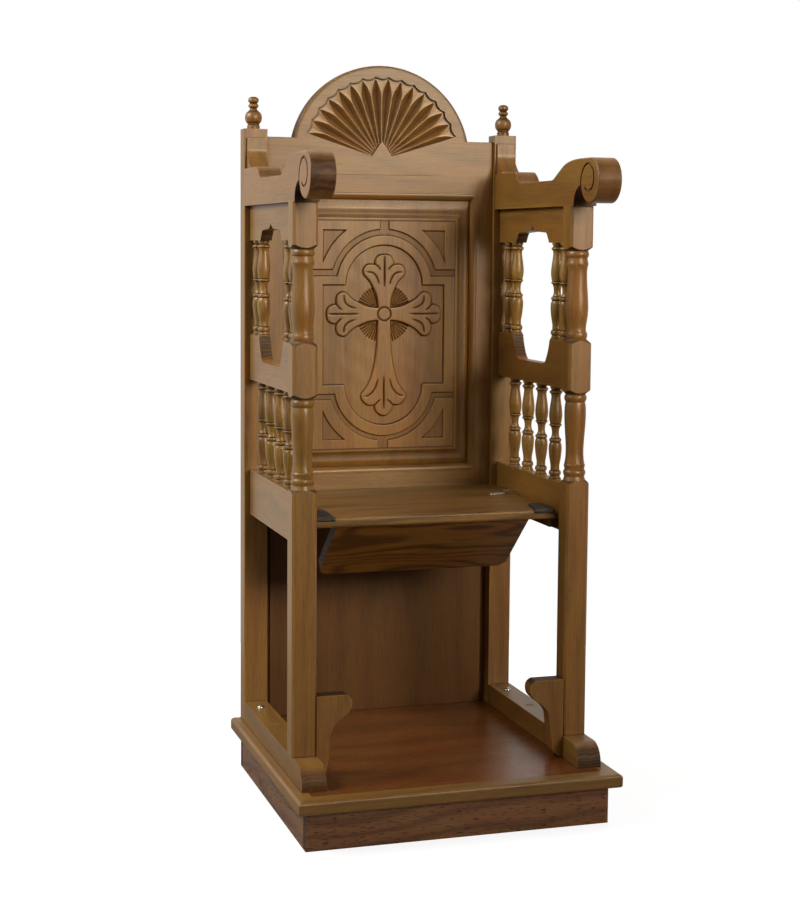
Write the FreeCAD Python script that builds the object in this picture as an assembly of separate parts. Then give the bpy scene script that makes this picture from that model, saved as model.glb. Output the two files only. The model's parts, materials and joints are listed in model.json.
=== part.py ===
import FreeCAD, Part
import math
import os

# Choir stall with a tip-up seat.  Millimetres, +Z up, the sitter faces -Y.
# Origin: middle of the footprint, on the floor.

os.makedirs("parts", exist_ok=True)
V = FreeCAD.Vector
FAR = 2000.0                    # larger than the stall in every direction

# --- driving dimensions -------------------------------------------------------

# platform and plinth
PLATFORM_HALF_X = 340.0
PLATFORM_HALF_Y = 319.0
PLATFORM_BOTTOM = 79.0
PLATFORM_TOP = 107.0
LIPPING = 34.0                  # width of the solid strip round the panel
LIPPING_ROUND = 7.0
PLINTH_HALF_X = 320.0
PLINTH_FRONT = -292.0
PLINTH_BACK = 304.0
PLINTH_BOARD = 20.0
BEARER_X = 100.0
BEARER_THICK = 24.0

# runners that carry the posts
RUNNER_IN = 267.5
RUNNER_OUT = 318.5
RUNNER_FRONT = -255.0
RUNNER_TOP = 153.0
NOSE_RADIUS = 38.0
SCREW_REAR_Y = 222.0
SCREW_FRONT_Y = 80.0
SCREW_RADIUS = 4.0
SCREW_TIP_Z = 92.0
SCREW_HEAD_RADIUS = 8.0
SCREW_HEAD_HIGH = 5.0
PLUG_RADIUS = 10.0
PLUG_DEPTH = 12.0

# posts
POST_X = 293.0                  # centre line of both posts of a side
POST_Y = -150.0                 # centre line of the front post
FRONT_POST_WIDE = 51.0
FRONT_POST_DEEP = 47.0
ARRIS = 5.0                     # chamfer on the square parts of the front post
REAR_POST_IN = 266.0
REAR_POST_OUT = 318.0
REAR_POST_FRONT = 277.5
REAR_POST_TOP = 1431.0
REAR_ARRIS = 2.0
POST_TENON_HALF = 11.0
POST_TENON_LONG = 20.0
CORNER_RADIUS = 36.0            # reaches outside the corners of the square parts
RING_RADIUS = 23.4

# arms
ARM_BOTTOM = 1262.5
ARM_REAR_TOP = 1344.0
ARM_DIP = 1318.0
SCROLL_Y = -263.0
SCROLL_Z = 1311.5
SCROLL_RADIUS = 45.5
COVE_REAR_Y = -183.0
COVE_TOP_Y = -219.5
COVE_TOP_Z = 1303.0
ARM_ROUND = 3.0
GROOVE_WIDE = 5.0
GROOVE_DEEP = 3.0
SPIRAL_BACK = 6.0               # its centre lies behind and above the scroll's
SPIRAL_UP = 4.0
SPIRAL_OUTER = 41.3
SPIRAL_INNER = 25.0
SPIRAL_DECAY = 80.0             # degrees
SPIRAL_START = -17.0            # degrees
SPIRAL_END = 317.0              # degrees

# ogee brackets on the arms
OGEE_IN = 270.5
OGEE_OUT = 312.5
OGEE_TOP = 1411.0
OGEE_THIN = 6.0
OGEE_FOOT = 38.0

# side rails
RAIL_IN = 280.5
RAIL_OUT = 305.5
RAIL_FRONT = -126.5
RAIL_MID_Y = 75.5
UPPER_RAIL_BOTTOM = 1187.0
MID_RAIL = (881.0, 981.0)
SEAT_RAIL = (580.0, 680.0)
RAIL_TENON = 18.0
RAIL_TENON_HALF = 6.0

# balusters
BALUSTER_HIGH = 201.0           # the profile below is written for this height
LOWER_BALUSTER_Y = (-44.5, 35.5, 115.5, 195.5)
UPPER_BALUSTER_Y = (-90.0, -43.0, 194.0, 241.0)
PEG_RADIUS = 6.0
PEG_LONG = 12.0

# back frame
BACK_FRONT = 288.5
BACK_THICK = 25.0
BACK_BOTTOM = 590.0
BACK_HALF = 266.0
CREST_SEAM = 1336.0
SHOULDER_Z = 1415.5
ARCH_Z = 1370.0
ARCH_RADIUS = 209.4
CREST_ROUND = 5.0
ARRIS_HALF = 228.0              # opening of the frame at its front face
ARRIS_LOW = 662.0
ARRIS_HIGH = 1296.0
OVOLO = 15.0
OVOLO_DEEP = 12.0
TONGUE = 8.0
TONGUE_GAP = 1.0
COVE = 18.0
FILLET = 7.0
FILLET_DEEP = 3.0
COVE_RIM = 6.6                      # depth of the cove's outer rim, and of its hollow
COVE_DEEP = 8.2
FIELD_HALF = 167.0
FIELD_LOW = 719.0
FIELD_HIGH = 1233.0
DOWEL_RADIUS = 5.0
DOWEL_REACH = 20.0
DOWEL_Z = (700.0, 980.0, 1260.0)

# carving of the panel; u to the right and v up from the middle of the cross
CROSS_Z = 1023.7
CROSS_X = 8.0                      # the carved field sits right of the centre line
SUNK = 5.5
CHANNEL_DEEP = 4.0
SIDE_U = 143.5
UPPER_ARC_V = 66.0
UPPER_ARCS = (90.0, 112.0, 125.0, 152.0)
UPPER_CHANNEL_V = (86.5, 102.7)
LOWER_ARC_V = -160.0
LOWER_ARCS = (93.5, 116.0, 129.0, 154.5)
LOWER_CHANNEL_V = (-192.0, -180.5)
SLOT_HALF = 10.5
SPANDREL_TOP_V = 188.7
SPANDREL_LOW_V = -284.5

# fan of the crest board
FAN_Z = 1374.2
FAN_RADIUS = 179.0
FAN_FIRST = 16.9                # degrees
FAN_STEP = 9.75
FAN_CUSPS = 16
FAN_DEEP = 6.0
FLUTE_DEEP = 4.0
FLUTE_HALF = 9.0
FAN_NOTCH = 38.0
FAN_TIP = (22.5, 8.0)

# lower back
LOWER_PANEL_HALF = 253.0
LOWER_PANEL_FRONT = 305.0
LOWER_PANEL_BACK = 311.0
BATTEN_IN = 236.0

# foot brackets
FOOT_FRONT = -172.0
FOOT_BACK = -140.0
FOOT_TOP = 275.0

# seat
SEAT_TOP = 627.0
SEAT_THICK = 20.0
SEAT_FRONT = -120.0
SEAT_BACK = 283.0
SEAT_HALF_FRONT = 264.0
SEAT_HALF_BACK = 274.0
SEAT_SHOULDER_Y = (96.0, 138.0)
SEAT_CORNER = 28.0
SEAT_JOINT_Y = 98.0
SEAT_NOSE = 5.0
PIVOT_Y = 165.0
PIVOT_Z = SEAT_TOP
ROD_RADIUS = 4.0
ROD_PLAY = 0.06
ROD_BEND = 12.0
ROD_PATH = ((295.5, 165.0), (248.0, 165.0), (242.0, 120.0), (204.0, 117.0))

# perch board under the seat
PERCH_HALF = 210.0
PERCH_THICK = 24.0
PERCH_TOP_Y = -108.0
PERCH_LOW = (38.0, 482.0)
PERCH_CORNER = 22.0
BRACKET_X = (126.0, 150.0)
BRACKET_BACK_Y = 112.0

# pads and seat stops
PAD_THICK = 4.0
PAD_LIP = 7.0
PAD_PLAN = ((230.0, -44.0), (242.0, -36.0), (263.0, -40.0), (263.0, -120.0), (216.0, -120.0))
CLEAT_IN = 256.0
CLEAT_Y = (-108.0, 88.0)
CLEAT_Z = (588.0, 606.5)
CLEAT_SCREW_Y = (-80.0, -10.0, 60.0)
CLEAT_SCREW_RADIUS = 2.0
CLEAT_SCREW_TIP = 296.0
CLEAT_HEAD_RADIUS = 4.0
CLEAT_HEAD_DEEP = 3.0


# --- helpers ------------------------------------------------------------------

def box(x0, x1, y0, y1, z0, z1):
    """Box between two corners."""
    return Part.makeBox(x1 - x0, y1 - y0, z1 - z0, V(x0, y0, z0))


def rod(radius, length, base, direction):
    """Cylinder from a base point along a direction."""
    return Part.makeCylinder(radius, length, V(*base), V(*direction))


def mirrored(shape):
    """The other side of the stall."""
    return shape.mirror(V(0, 0, 0), V(1, 0, 0))


def save(name, shape):
    """Write one piece of the stall."""
    shape.exportStep("parts/" + name + ".step")


def save_pair(name, right):
    """Write a right-hand piece and its mirror image."""
    save(name + "_right", right)
    save(name + "_left", mirrored(right))


class Outline:
    """A closed outline drawn in a plane; place turns its two numbers into a point."""

    def __init__(self, place, start):
        self.place = place
        self.start = start
        self.here = start
        self.edges = []

    def line(self, *points):
        for point in points:
            self.edges.append(Part.makeLine(self.place(*self.here), self.place(*point)))
            self.here = point
        return self

    def arc(self, via, end):
        arc = Part.Arc(self.place(*self.here), self.place(*via), self.place(*end))
        self.edges.append(arc.toShape())
        self.here = end
        return self

    def curve(self, points, leave=None, arrive=None):
        """Smooth curve through points, with the directions at its ends if given."""
        spline = Part.BSplineCurve()
        knots = [self.place(*p) for p in (self.here,) + tuple(points)]
        if leave is None:
            spline.interpolate(Points=knots)
        else:
            origin = self.place(0.0, 0.0)
            ends = [self.place(*d) - origin for d in (leave, arrive)]
            spline.interpolate(Points=knots, InitialTangent=ends[0], FinalTangent=ends[1])
        self.edges.append(spline.toShape())
        self.here = points[-1]
        return self

    def face(self):
        if self.place(*self.here).distanceToPoint(self.place(*self.start)) > 1e-6:
            self.line(self.start)
        return Part.Face(Part.Wire(self.edges))


def side_view(x):
    """Outline plane at constant x: numbers are y, z."""
    return lambda y, z: V(x, y, z)


def front_view(y):
    """Outline plane at constant y: numbers are x, z."""
    return lambda x, z: V(x, y, z)


def plan_view(z):
    """Outline plane at constant z: numbers are x, y."""
    return lambda x, y: V(x, y, z)


def turning(r, z):
    """Outline plane of a turned piece: numbers are radius, height."""
    return V(r, 0, z)


def turned(outline):
    """Solid of revolution about the Z axis."""
    return outline.face().revolve(V(0, 0, 0), V(0, 0, 1), 360)


def polygon(place, points):
    return Outline(place, points[0]).line(*points[1:]).face()


def edges_where(shape, test):
    """Edges whose middle passes a test."""
    return [e for e in shape.Edges if test(e.CenterOfMass)]


# --- plinth and platform ------------------------------------------------------

def plinth():
    inner = PLINTH_HALF_X - PLINTH_BOARD
    front_in = PLINTH_FRONT + PLINTH_BOARD
    back_in = PLINTH_BACK - PLINTH_BOARD
    wide = (-PLINTH_HALF_X, PLINTH_HALF_X)
    save("plinth_front", box(*wide, PLINTH_FRONT, front_in, 0, PLATFORM_BOTTOM))
    save("plinth_back", box(*wide, back_in, PLINTH_BACK, 0, PLATFORM_BOTTOM))
    save_pair("plinth", box(inner, PLINTH_HALF_X, front_in, back_in, 0, PLATFORM_BOTTOM))
    save_pair("plinth_bearer", box(BEARER_X, BEARER_X + BEARER_THICK, front_in, back_in,
                                   0, PLATFORM_BOTTOM))


def lipping(points):
    """One strip of the platform edge with its outer arrises rounded."""
    strip = polygon(plan_view(PLATFORM_BOTTOM), points)
    strip = strip.extrude(V(0, 0, PLATFORM_TOP - PLATFORM_BOTTOM))
    outer = PLATFORM_HALF_X - 1.0
    front = 1.0 - PLATFORM_HALF_Y

    def arris(c):
        level = min(abs(c.z - PLATFORM_TOP), abs(c.z - PLATFORM_BOTTOM)) < 0.1
        return level and (abs(c.x) > outer or (c.y < front and abs(c.x) < 1.0))
    return strip.makeFillet(LIPPING_ROUND, edges_where(strip, arris))


def platform():
    x, y = PLATFORM_HALF_X, PLATFORM_HALF_Y
    xi, yi = x - LIPPING, y - LIPPING
    panel = box(-xi, xi, -yi, y, PLATFORM_BOTTOM, PLATFORM_TOP)
    for side in (-1, 1):
        for place_y in (SCREW_FRONT_Y, SCREW_REAR_Y):
            hole = rod(SCREW_RADIUS, FAR, (side * POST_X, place_y, SCREW_TIP_Z), (0, 0, 1))
            panel = panel.cut(hole)
    panel = panel.cut(rear_tenon()).cut(mirrored(rear_tenon()))
    save("platform_panel", panel)
    save("lipping_front", lipping(((-x, -y), (x, -y), (xi, -yi), (-xi, -yi))))
    save_pair("lipping", lipping(((xi, -yi), (x, -y), (x, y), (xi, y))))


# --- runners ------------------------------------------------------------------

def runner():
    nose_y = RUNNER_FRONT + NOSE_RADIUS
    nose_z = RUNNER_TOP - NOSE_RADIUS
    bow = NOSE_RADIUS * math.sqrt(0.5)
    outline = Outline(side_view(RUNNER_IN), (RUNNER_FRONT, PLATFORM_TOP))
    outline.line((RUNNER_FRONT, nose_z))
    outline.arc((nose_y - bow, nose_z + bow), (nose_y, RUNNER_TOP))
    outline.line((REAR_POST_FRONT, RUNNER_TOP), (REAR_POST_FRONT, PLATFORM_TOP))
    body = outline.face().extrude(V(RUNNER_OUT - RUNNER_IN, 0, 0))
    body = body.cut(front_tenon(RUNNER_TOP - POST_TENON_LONG, RUNNER_TOP))
    for place_y in (SCREW_FRONT_Y, SCREW_REAR_Y):
        body = body.cut(rod(SCREW_RADIUS, FAR, (POST_X, place_y, SCREW_TIP_Z), (0, 0, 1)))
    return body.cut(plug_hole())


def plug_hole():
    """Counterbore over the front coach screw: its head and the plug on top."""
    deep = PLUG_DEPTH + SCREW_HEAD_HIGH
    return rod(PLUG_RADIUS, deep, (POST_X, SCREW_FRONT_Y, RUNNER_TOP - deep), (0, 0, 1))


def plug():
    base = (POST_X, SCREW_FRONT_Y, RUNNER_TOP - PLUG_DEPTH)
    return rod(PLUG_RADIUS, PLUG_DEPTH, base, (0, 0, 1))


def coach_screw(place_y, seat_z):
    """Shank and domed head; seat_z is the level under the head."""
    shank = rod(SCREW_RADIUS, seat_z - SCREW_TIP_Z, (POST_X, place_y, SCREW_TIP_Z), (0, 0, 1))
    dome = Outline(turning, (0.0, 0.0)).line((SCREW_HEAD_RADIUS, 0.0))
    dome.arc((SCREW_HEAD_RADIUS * 0.75, SCREW_HEAD_HIGH * 0.72), (2.0, SCREW_HEAD_HIGH))
    dome.line((0.0, SCREW_HEAD_HIGH))
    head = turned(dome)
    head.translate(V(POST_X, place_y, seat_z))
    return shank.fuse(head)


def runners():
    save_pair("runner", runner())
    screws = [coach_screw(SCREW_REAR_Y, RUNNER_TOP),
              coach_screw(SCREW_FRONT_Y, RUNNER_TOP - PLUG_DEPTH - SCREW_HEAD_HIGH)]
    save("runner_screws", Part.makeCompound(screws + [mirrored(s) for s in screws]))
    save("runner_plugs", Part.makeCompound([plug(), mirrored(plug())]))


# --- posts and finials --------------------------------------------------------

def front_tenon(z0, z1):
    half = POST_TENON_HALF
    return box(POST_X - half, POST_X + half, POST_Y - half, POST_Y + half, z0, z1)


def rear_tenon():
    half = POST_TENON_HALF
    mid = (REAR_POST_FRONT + PLATFORM_HALF_Y) / 2
    return box(POST_X - half, POST_X + half, mid - half, mid + half,
               PLATFORM_TOP - POST_TENON_LONG, PLATFORM_TOP)


def front_post_outline():
    """Turned envelope, top to bottom; the square parts are cut from it by the blank."""
    top = ARM_BOTTOM
    ring = RING_RADIUS
    o = Outline(turning, (0.0, RUNNER_TOP))
    o.line((CORNER_RADIUS, RUNNER_TOP), (CORNER_RADIUS, 683.0), (ring, 693.0), (21.0, 701.0))
    o.line((22.0, 704.0)).arc((ring, 709.0), (22.0, 714.0))
    o.line((20.5, 716.0)).curve([(21.4, 721.0), (22.4, 725.0)]).line((21.0, 727.5))
    o.curve([(19.0, 742.0), (18.6, 757.0), (20.0, 784.0), (22.5, 833.0), (21.6, 850.0),
             (20.2, 857.0)])
    o.line((22.0, 860.0)).arc((ring, 865.5), (22.0, 871.0)).line((20.6, 873.0))
    o.line((ring, 876.0), (CORNER_RADIUS, 886.0), (CORNER_RADIUS, 975.0), (ring, 985.0))
    o.line((20.5, 988.5), (21.6, 991.0)).arc((22.6, 996.0), (21.6, 1001.0))
    o.line((20.2, 1003.0)).curve([(19.5, 1009.0), (20.8, 1022.0), (ring, 1045.0),
                                  (22.2, 1080.0), (20.0, 1123.0), (20.6, 1135.0),
                                  (22.4, 1142.0)])
    o.line((22.4, 1145.0)).curve([(21.0, 1150.0), (20.6, 1155.0)]).line((20.6, 1157.0))
    o.line((22.0, 1158.0)).arc((ring, 1163.5), (22.0, 1169.0)).line((20.8, 1170.5))
    o.line((ring, 1172.5), (CORNER_RADIUS, 1182.0), (CORNER_RADIUS, top), (0.0, top))
    return o


def front_post():
    half_x = FRONT_POST_WIDE / 2
    half_y = FRONT_POST_DEEP / 2
    blank = box(-half_x, half_x, -half_y, half_y, RUNNER_TOP, ARM_BOTTOM)
    middle = (RUNNER_TOP + ARM_BOTTOM) / 2
    blank = blank.makeChamfer(ARRIS, edges_where(blank, lambda c: abs(c.z - middle) < 1.0))
    post = blank.common(turned(front_post_outline()))
    post.translate(V(POST_X, POST_Y, 0))
    post = post.fuse(front_tenon(RUNNER_TOP - POST_TENON_LONG, RUNNER_TOP))
    post = post.fuse(front_tenon(ARM_BOTTOM, ARM_BOTTOM + POST_TENON_LONG))
    for low, high in rail_levels():
        post = post.cut(rail_tenon(RAIL_FRONT, -1, low, high))
    return post


def rear_post():
    blank = box(REAR_POST_IN, REAR_POST_OUT, REAR_POST_FRONT, PLATFORM_HALF_Y,
                PLATFORM_TOP, REAR_POST_TOP)
    middle = (PLATFORM_TOP + REAR_POST_TOP) / 2

    def arris(c):
        return abs(c.z - middle) < 1.0 and c.x > POST_X
    post = blank.makeChamfer(REAR_ARRIS, edges_where(blank, arris)).fuse(rear_tenon())
    for low, high in rail_levels():
        post = post.cut(rail_tenon(REAR_POST_FRONT, 1, low, high))
    post = post.cut(arm_tenon()).cut(finial_peg())
    for z in DOWEL_Z:
        post = post.cut(dowel(z))
    return post


def finial_peg():
    mid = (REAR_POST_FRONT + PLATFORM_HALF_Y) / 2
    base = (POST_X, mid, REAR_POST_TOP - 2 * PEG_LONG)
    return rod(PEG_RADIUS, 2 * PEG_LONG, base, (0, 0, 1))


def finial():
    o = Outline(turning, (0.0, 0.0)).line((14.0, 0.0), (14.0, 5.0))
    o.arc((12.6, 7.0), (12.0, 9.0)).line((13.0, 9.6), (13.0, 11.5))
    o.curve([(17.4, 17.5), (18.7, 26.0), (16.4, 34.5), (10.0, 40.5), (7.4, 45.0)])
    o.line((8.0, 46.5)).arc((11.2, 50.5), (8.8, 54.5)).line((8.8, 57.0))
    o.arc((11.8, 62.5), (9.6, 68.0)).arc((7.0, 70.0), (4.0, 70.6)).line((0.0, 70.6))
    body = turned(o)
    body.translate(V(POST_X, (REAR_POST_FRONT + PLATFORM_HALF_Y) / 2, REAR_POST_TOP))
    return body.fuse(finial_peg())


# --- side rails and balusters -------------------------------------------------

def rail_levels():
    return ((UPPER_RAIL_BOTTOM, ARM_BOTTOM), MID_RAIL, SEAT_RAIL)


def rail_tenon(face_y, toward, low, high):
    """Tenon past a post face; toward is +1 to the back and -1 to the front."""
    y0, y1 = sorted((face_y, face_y + toward * RAIL_TENON))
    inset = (high - low) * 0.15
    return box(POST_X - RAIL_TENON_HALF, POST_X + RAIL_TENON_HALF, y0, y1,
               low + inset, high - inset)


def rail(low, high):
    body = box(RAIL_IN, RAIL_OUT, RAIL_FRONT, REAR_POST_FRONT, low, high)
    body = body.fuse(rail_tenon(RAIL_FRONT, -1, low, high))
    return body.fuse(rail_tenon(REAR_POST_FRONT, 1, low, high))


def upper_opening():
    """Shallow opening under the upper rail with an ogee peak in the middle."""
    y, z = RAIL_MID_Y, UPPER_RAIL_BOTTOM
    o = Outline(side_view(RAIL_IN), (y - 97, z - 1))
    o.line((y - 97, z)).curve([(y - 88, z + 13), (y - 79, z + 21.5)], (0.4, 1), (1, 0.3))
    o.line((y - 28, z + 24)).curve([(y - 12, z + 28), (y, z + 36)], (1, 0.05), (1, 1.1))
    o.curve([(y + 12, z + 28), (y + 28, z + 24)], (1, -1.1), (1, -0.05))
    o.line((y + 79, z + 21.5)).curve([(y + 88, z + 13), (y + 97, z)], (1, -0.3), (0.4, -1))
    o.line((y + 97, z - 1))
    return o.face().extrude(V(RAIL_OUT - RAIL_IN, 0, 0))


def mid_dip():
    """U-shaped dip cut down from the top of the mid rail."""
    y, z = RAIL_MID_Y, MID_RAIL[1]
    floor = 927.0
    o = Outline(side_view(RAIL_IN), (y - 109, z + 1)).line((y - 109, z))
    o.curve([(y - 99, z - 28), (y - 91, z - 41), (y - 68, floor)], (0.2, -1), (1, 0))
    o.line((y + 68, floor))
    o.curve([(y + 91, z - 41), (y + 99, z - 28), (y + 109, z)], (1, 0), (0.2, 1))
    o.line((y + 109, z + 1))
    return o.face().extrude(V(RAIL_OUT - RAIL_IN, 0, 0))


def baluster_outline(high):
    """Turned profile from the foot up, stretched to the height wanted."""
    s = high / BALUSTER_HIGH
    o = Outline(turning, (0.0, 0.0)).line((13.4, 0.0), (13.4, 3.2 * s), (11.6, 4.6 * s))
    o.line((11.0, 9.5 * s)).arc((13.2, 14.6 * s), (10.6, 19.8 * s)).line((9.8, 21.5 * s))
    o.curve([(9.8, 31.0 * s), (12.4, 47.0 * s), (14.0, 63.5 * s), (13.6, 74.0 * s),
             (11.8, 80.2 * s)])
    o.line((12.2, 82.4 * s)).arc((13.1, 85.4 * s), (12.0, 88.6 * s)).line((10.0, 90.0 * s))
    o.curve([(8.2, 95.0 * s), (7.7, 102.0 * s), (8.6, 109.5 * s), (10.4, 114.5 * s)])
    o.line((12.4, 116.4 * s)).arc((13.5, 118.2 * s), (12.4, 120.0 * s))
    o.line((11.8, 121.4 * s))
    o.curve([(13.4, 129.0 * s), (14.2, 139.5 * s), (13.2, 153.0 * s), (10.8, 170.0 * s),
             (10.0, 179.1 * s), (10.9, 184.0 * s)])
    o.line((12.2, 186.2 * s)).arc((13.9, 189.0 * s), (12.2, 191.6 * s))
    o.line((10.8, 194.0 * s), (10.8, 195.8 * s), (12.5, 196.8 * s), (12.5, high), (0.0, high))
    return o


def balusters(places, low, high):
    """One tier: each baluster with a peg at both ends."""
    first = turned(baluster_outline(high - low))
    pegs = rod(PEG_RADIUS, high - low + 2 * PEG_LONG, (0, 0, -PEG_LONG), (0, 0, 1))
    first = first.fuse(pegs)
    tier = []
    for y in places:
        copy = first.copy()
        copy.translate(V(POST_X, y, low))
        tier.append(copy)
    return Part.makeCompound(tier)


def peg_holes(places, low, high):
    length = high - low + 2 * PEG_LONG
    return [rod(PEG_RADIUS, length, (POST_X, y, low - PEG_LONG), (0, 0, 1)) for y in places]


def side_panels():
    lower = peg_holes(LOWER_BALUSTER_Y, SEAT_RAIL[1], MID_RAIL[0])
    upper = peg_holes(UPPER_BALUSTER_Y, MID_RAIL[1], UPPER_RAIL_BOTTOM)
    seat_rail = rail(*SEAT_RAIL).cut(lower).cut(cleat_screws())
    save_pair("upper_rail", rail(UPPER_RAIL_BOTTOM, ARM_BOTTOM).cut([upper_opening()] + upper))
    save_pair("mid_rail", rail(*MID_RAIL).cut([mid_dip()] + lower + upper))
    save_pair("seat_rail", seat_rail.cut(rod_socket()))
    save_pair("lower_balusters", balusters(LOWER_BALUSTER_Y, SEAT_RAIL[1], MID_RAIL[0]))
    save_pair("upper_balusters", balusters(UPPER_BALUSTER_Y, MID_RAIL[1], UPPER_RAIL_BOTTOM))


# --- arms ---------------------------------------------------------------------

def arm_outline():
    cy, cz, r = SCROLL_Y, SCROLL_Z, SCROLL_RADIUS
    apex = math.atan2(COVE_TOP_Z - cz, COVE_TOP_Y - cy)
    tip = (cy + r * math.cos(apex), cz + r * math.sin(apex))
    bow_y = COVE_REAR_Y - 9.0
    bow_z = COVE_TOP_Z - 13.0
    o = Outline(side_view(RUNNER_IN), (REAR_POST_FRONT, ARM_BOTTOM))
    o.line((COVE_REAR_Y, ARM_BOTTOM)).arc((bow_y, bow_z), tip)
    o.arc((cy, cz - r), (cy - r, cz)).arc((cy - r * 0.6, cz + r * 0.8), (cy, cz + r))
    o.curve([(-156.0, 1353.8), (-130.0, 1348.0), (-107.0, 1338.0), (-80.0, 1325.0),
             (-54.0, ARM_DIP)], (1, 0), (1, 0))
    o.line((116.0, ARM_DIP))
    o.curve([(130.0, 1323.0), (141.0, 1333.5), (153.0, 1341.5), (171.0, ARM_REAR_TOP)],
            (1, 0), (1, 0))
    return o.line((REAR_POST_FRONT, ARM_REAR_TOP))


def arm_tenon():
    """Tenon of the arm into the rear post."""
    return box(POST_X - RAIL_TENON_HALF, POST_X + RAIL_TENON_HALF,
               REAR_POST_FRONT, REAR_POST_FRONT + RAIL_TENON,
               ARM_BOTTOM + RAIL_TENON, ARM_REAR_TOP - RAIL_TENON)


def spiral_point(angle, shift):
    """Point of the volute; its radius shrinks from the outer to the inner value."""
    passed = angle - SPIRAL_START
    shrink = (SPIRAL_OUTER - SPIRAL_INNER) * math.exp(-passed / SPIRAL_DECAY)
    radius = SPIRAL_INNER + shrink + shift
    turn = math.radians(angle)
    return (SCROLL_Y + SPIRAL_BACK + radius * math.cos(turn),
            SCROLL_Z + SPIRAL_UP + radius * math.sin(turn))


def spiral_groove():
    """Flat strip along the volute, as deep as the groove, on the inner face."""
    steps = [SPIRAL_START + (SPIRAL_END - SPIRAL_START) * i / 30.0 for i in range(31)]
    half = GROOVE_WIDE / 2
    outer = [spiral_point(a, half) for a in steps]
    inner = [spiral_point(a, -half) for a in reversed(steps)]
    o = Outline(side_view(RUNNER_IN), outer[0]).curve(outer[1:]).line(inner[0])
    return o.curve(inner[1:]).face().extrude(V(GROOVE_DEEP, 0, 0))


def arm():
    body = arm_outline().face().extrude(V(RUNNER_OUT - RUNNER_IN, 0, 0))

    def arris(c):
        on_side = min(abs(c.x - RUNNER_IN), abs(c.x - RUNNER_OUT)) < 0.1
        in_notch = c.y > SCROLL_Y and c.z < SCROLL_Z
        at_post = c.y > REAR_POST_FRONT - 1.0
        return on_side and not in_notch and not at_post and c.z > ARM_BOTTOM + 1.0
    body = body.makeFillet(ARM_ROUND, edges_where(body, arris))
    groove = spiral_groove()
    body = body.cut(groove)
    groove.translate(V(RUNNER_OUT - RUNNER_IN - GROOVE_DEEP, 0, 0))
    body = body.cut(groove).fuse(arm_tenon())
    return body.cut(front_tenon(ARM_BOTTOM, ARM_BOTTOM + POST_TENON_LONG))


def ogee_bracket():
    y, z = REAR_POST_FRONT, ARM_REAR_TOP
    o = Outline(side_view(OGEE_IN), (y, z)).line((y - OGEE_FOOT, z), (y - OGEE_FOOT, z + 3.0))
    o.curve([(y - 26.0, z + 9.0), (y - 15.0, z + 20.0), (y - 8.0, z + 33.0),
             (y - OGEE_THIN, z + 46.0)], (1, 0.1), (0, 1))
    o.line((y - OGEE_THIN, OGEE_TOP), (y, OGEE_TOP))
    return o.face().extrude(V(OGEE_OUT - OGEE_IN, 0, 0))


# --- back frame ---------------------------------------------------------------

def sight():
    """Visible opening of the frame: half width, bottom, top."""
    return ARRIS_HALF - OVOLO, ARRIS_LOW + OVOLO, ARRIS_HIGH - OVOLO


def ovolo_cut(place, edge, inward, run):
    """Waste in front of the quarter-round moulding; inward is the way to the opening."""
    bow = math.sqrt(0.5)
    low = BACK_FRONT + OVOLO_DEEP
    end = edge + inward * OVOLO
    via = (edge + inward * OVOLO * bow, low - OVOLO_DEEP * bow)
    o = Outline(place, (edge, BACK_FRONT - 1.0)).line((edge, BACK_FRONT + 1.0))
    return o.arc(via, (end, low)).line((end, BACK_FRONT - 1.0)).face().extrude(run)


def panel_tongue(extra):
    """Rectangle that the panel fills inside the frame, in its groove."""
    half, low, high = sight()
    reach = TONGUE + extra
    front = BACK_FRONT + OVOLO_DEEP
    return box(-half - reach, half + reach, front, front + TONGUE, low - reach, high + reach)


def frame_piece(points):
    piece = polygon(front_view(BACK_FRONT), points).extrude(V(0, BACK_THICK, 0))
    return piece.cut(panel_tongue(TONGUE_GAP))


def stile():
    half, low, high = sight()
    piece = frame_piece(((BACK_HALF, BACK_BOTTOM), (BACK_HALF, CREST_SEAM),
                         (ARRIS_HALF, CREST_SEAM), (ARRIS_HALF, ARRIS_HIGH), (half, high),
                         (half, low), (ARRIS_HALF, ARRIS_LOW), (ARRIS_HALF, BACK_BOTTOM)))
    piece = piece.cut(ovolo_cut(plan_view(0.0), ARRIS_HALF, -1, V(0, 0, FAR)))
    for z in DOWEL_Z:
        piece = piece.cut(dowel(z))
    return piece.cut(cross_rail_tenon(ARRIS_HIGH, CREST_SEAM)).cut(
        cross_rail_tenon(BACK_BOTTOM, ARRIS_LOW)).cut(crest_tongue())


def cross_rail_tenon(low, high):
    """Right-hand tenon of a cross rail in the stile."""
    middle = BACK_FRONT + BACK_THICK / 2
    inset = (high - low) * 0.4
    return box(ARRIS_HALF, ARRIS_HALF + RAIL_TENON, middle - 4.0, middle + 4.0,
               low + 5.0, high - inset)


def cross_rail(edge, sight_z, far, inward, low, high):
    """Rail of the back frame between its moulded edge and its far edge."""
    half = sight()[0]
    piece = frame_piece(((-ARRIS_HALF, far), (ARRIS_HALF, far), (ARRIS_HALF, edge),
                         (half, sight_z), (-half, sight_z), (-ARRIS_HALF, edge)))
    place = lambda z, y: V(-FAR / 2, y, z)
    piece = piece.cut(ovolo_cut(place, edge, inward, V(FAR, 0, 0)))
    tenon = cross_rail_tenon(low, high)
    return piece.fuse([tenon, mirrored(tenon)])


def crest_tongue():
    middle = BACK_FRONT + BACK_THICK / 2
    reach = BACK_HALF - 2 * RAIL_TENON
    return box(-reach, reach, middle - 4.0, middle + 4.0, CREST_SEAM - PEG_LONG, CREST_SEAM)


def dowel(z):
    """Dowel between a stile and its rear post."""
    base = (BACK_HALF - DOWEL_REACH, BACK_FRONT + BACK_THICK / 2, z)
    return rod(DOWEL_RADIUS, 2 * DOWEL_REACH, base, (1, 0, 0))


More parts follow.
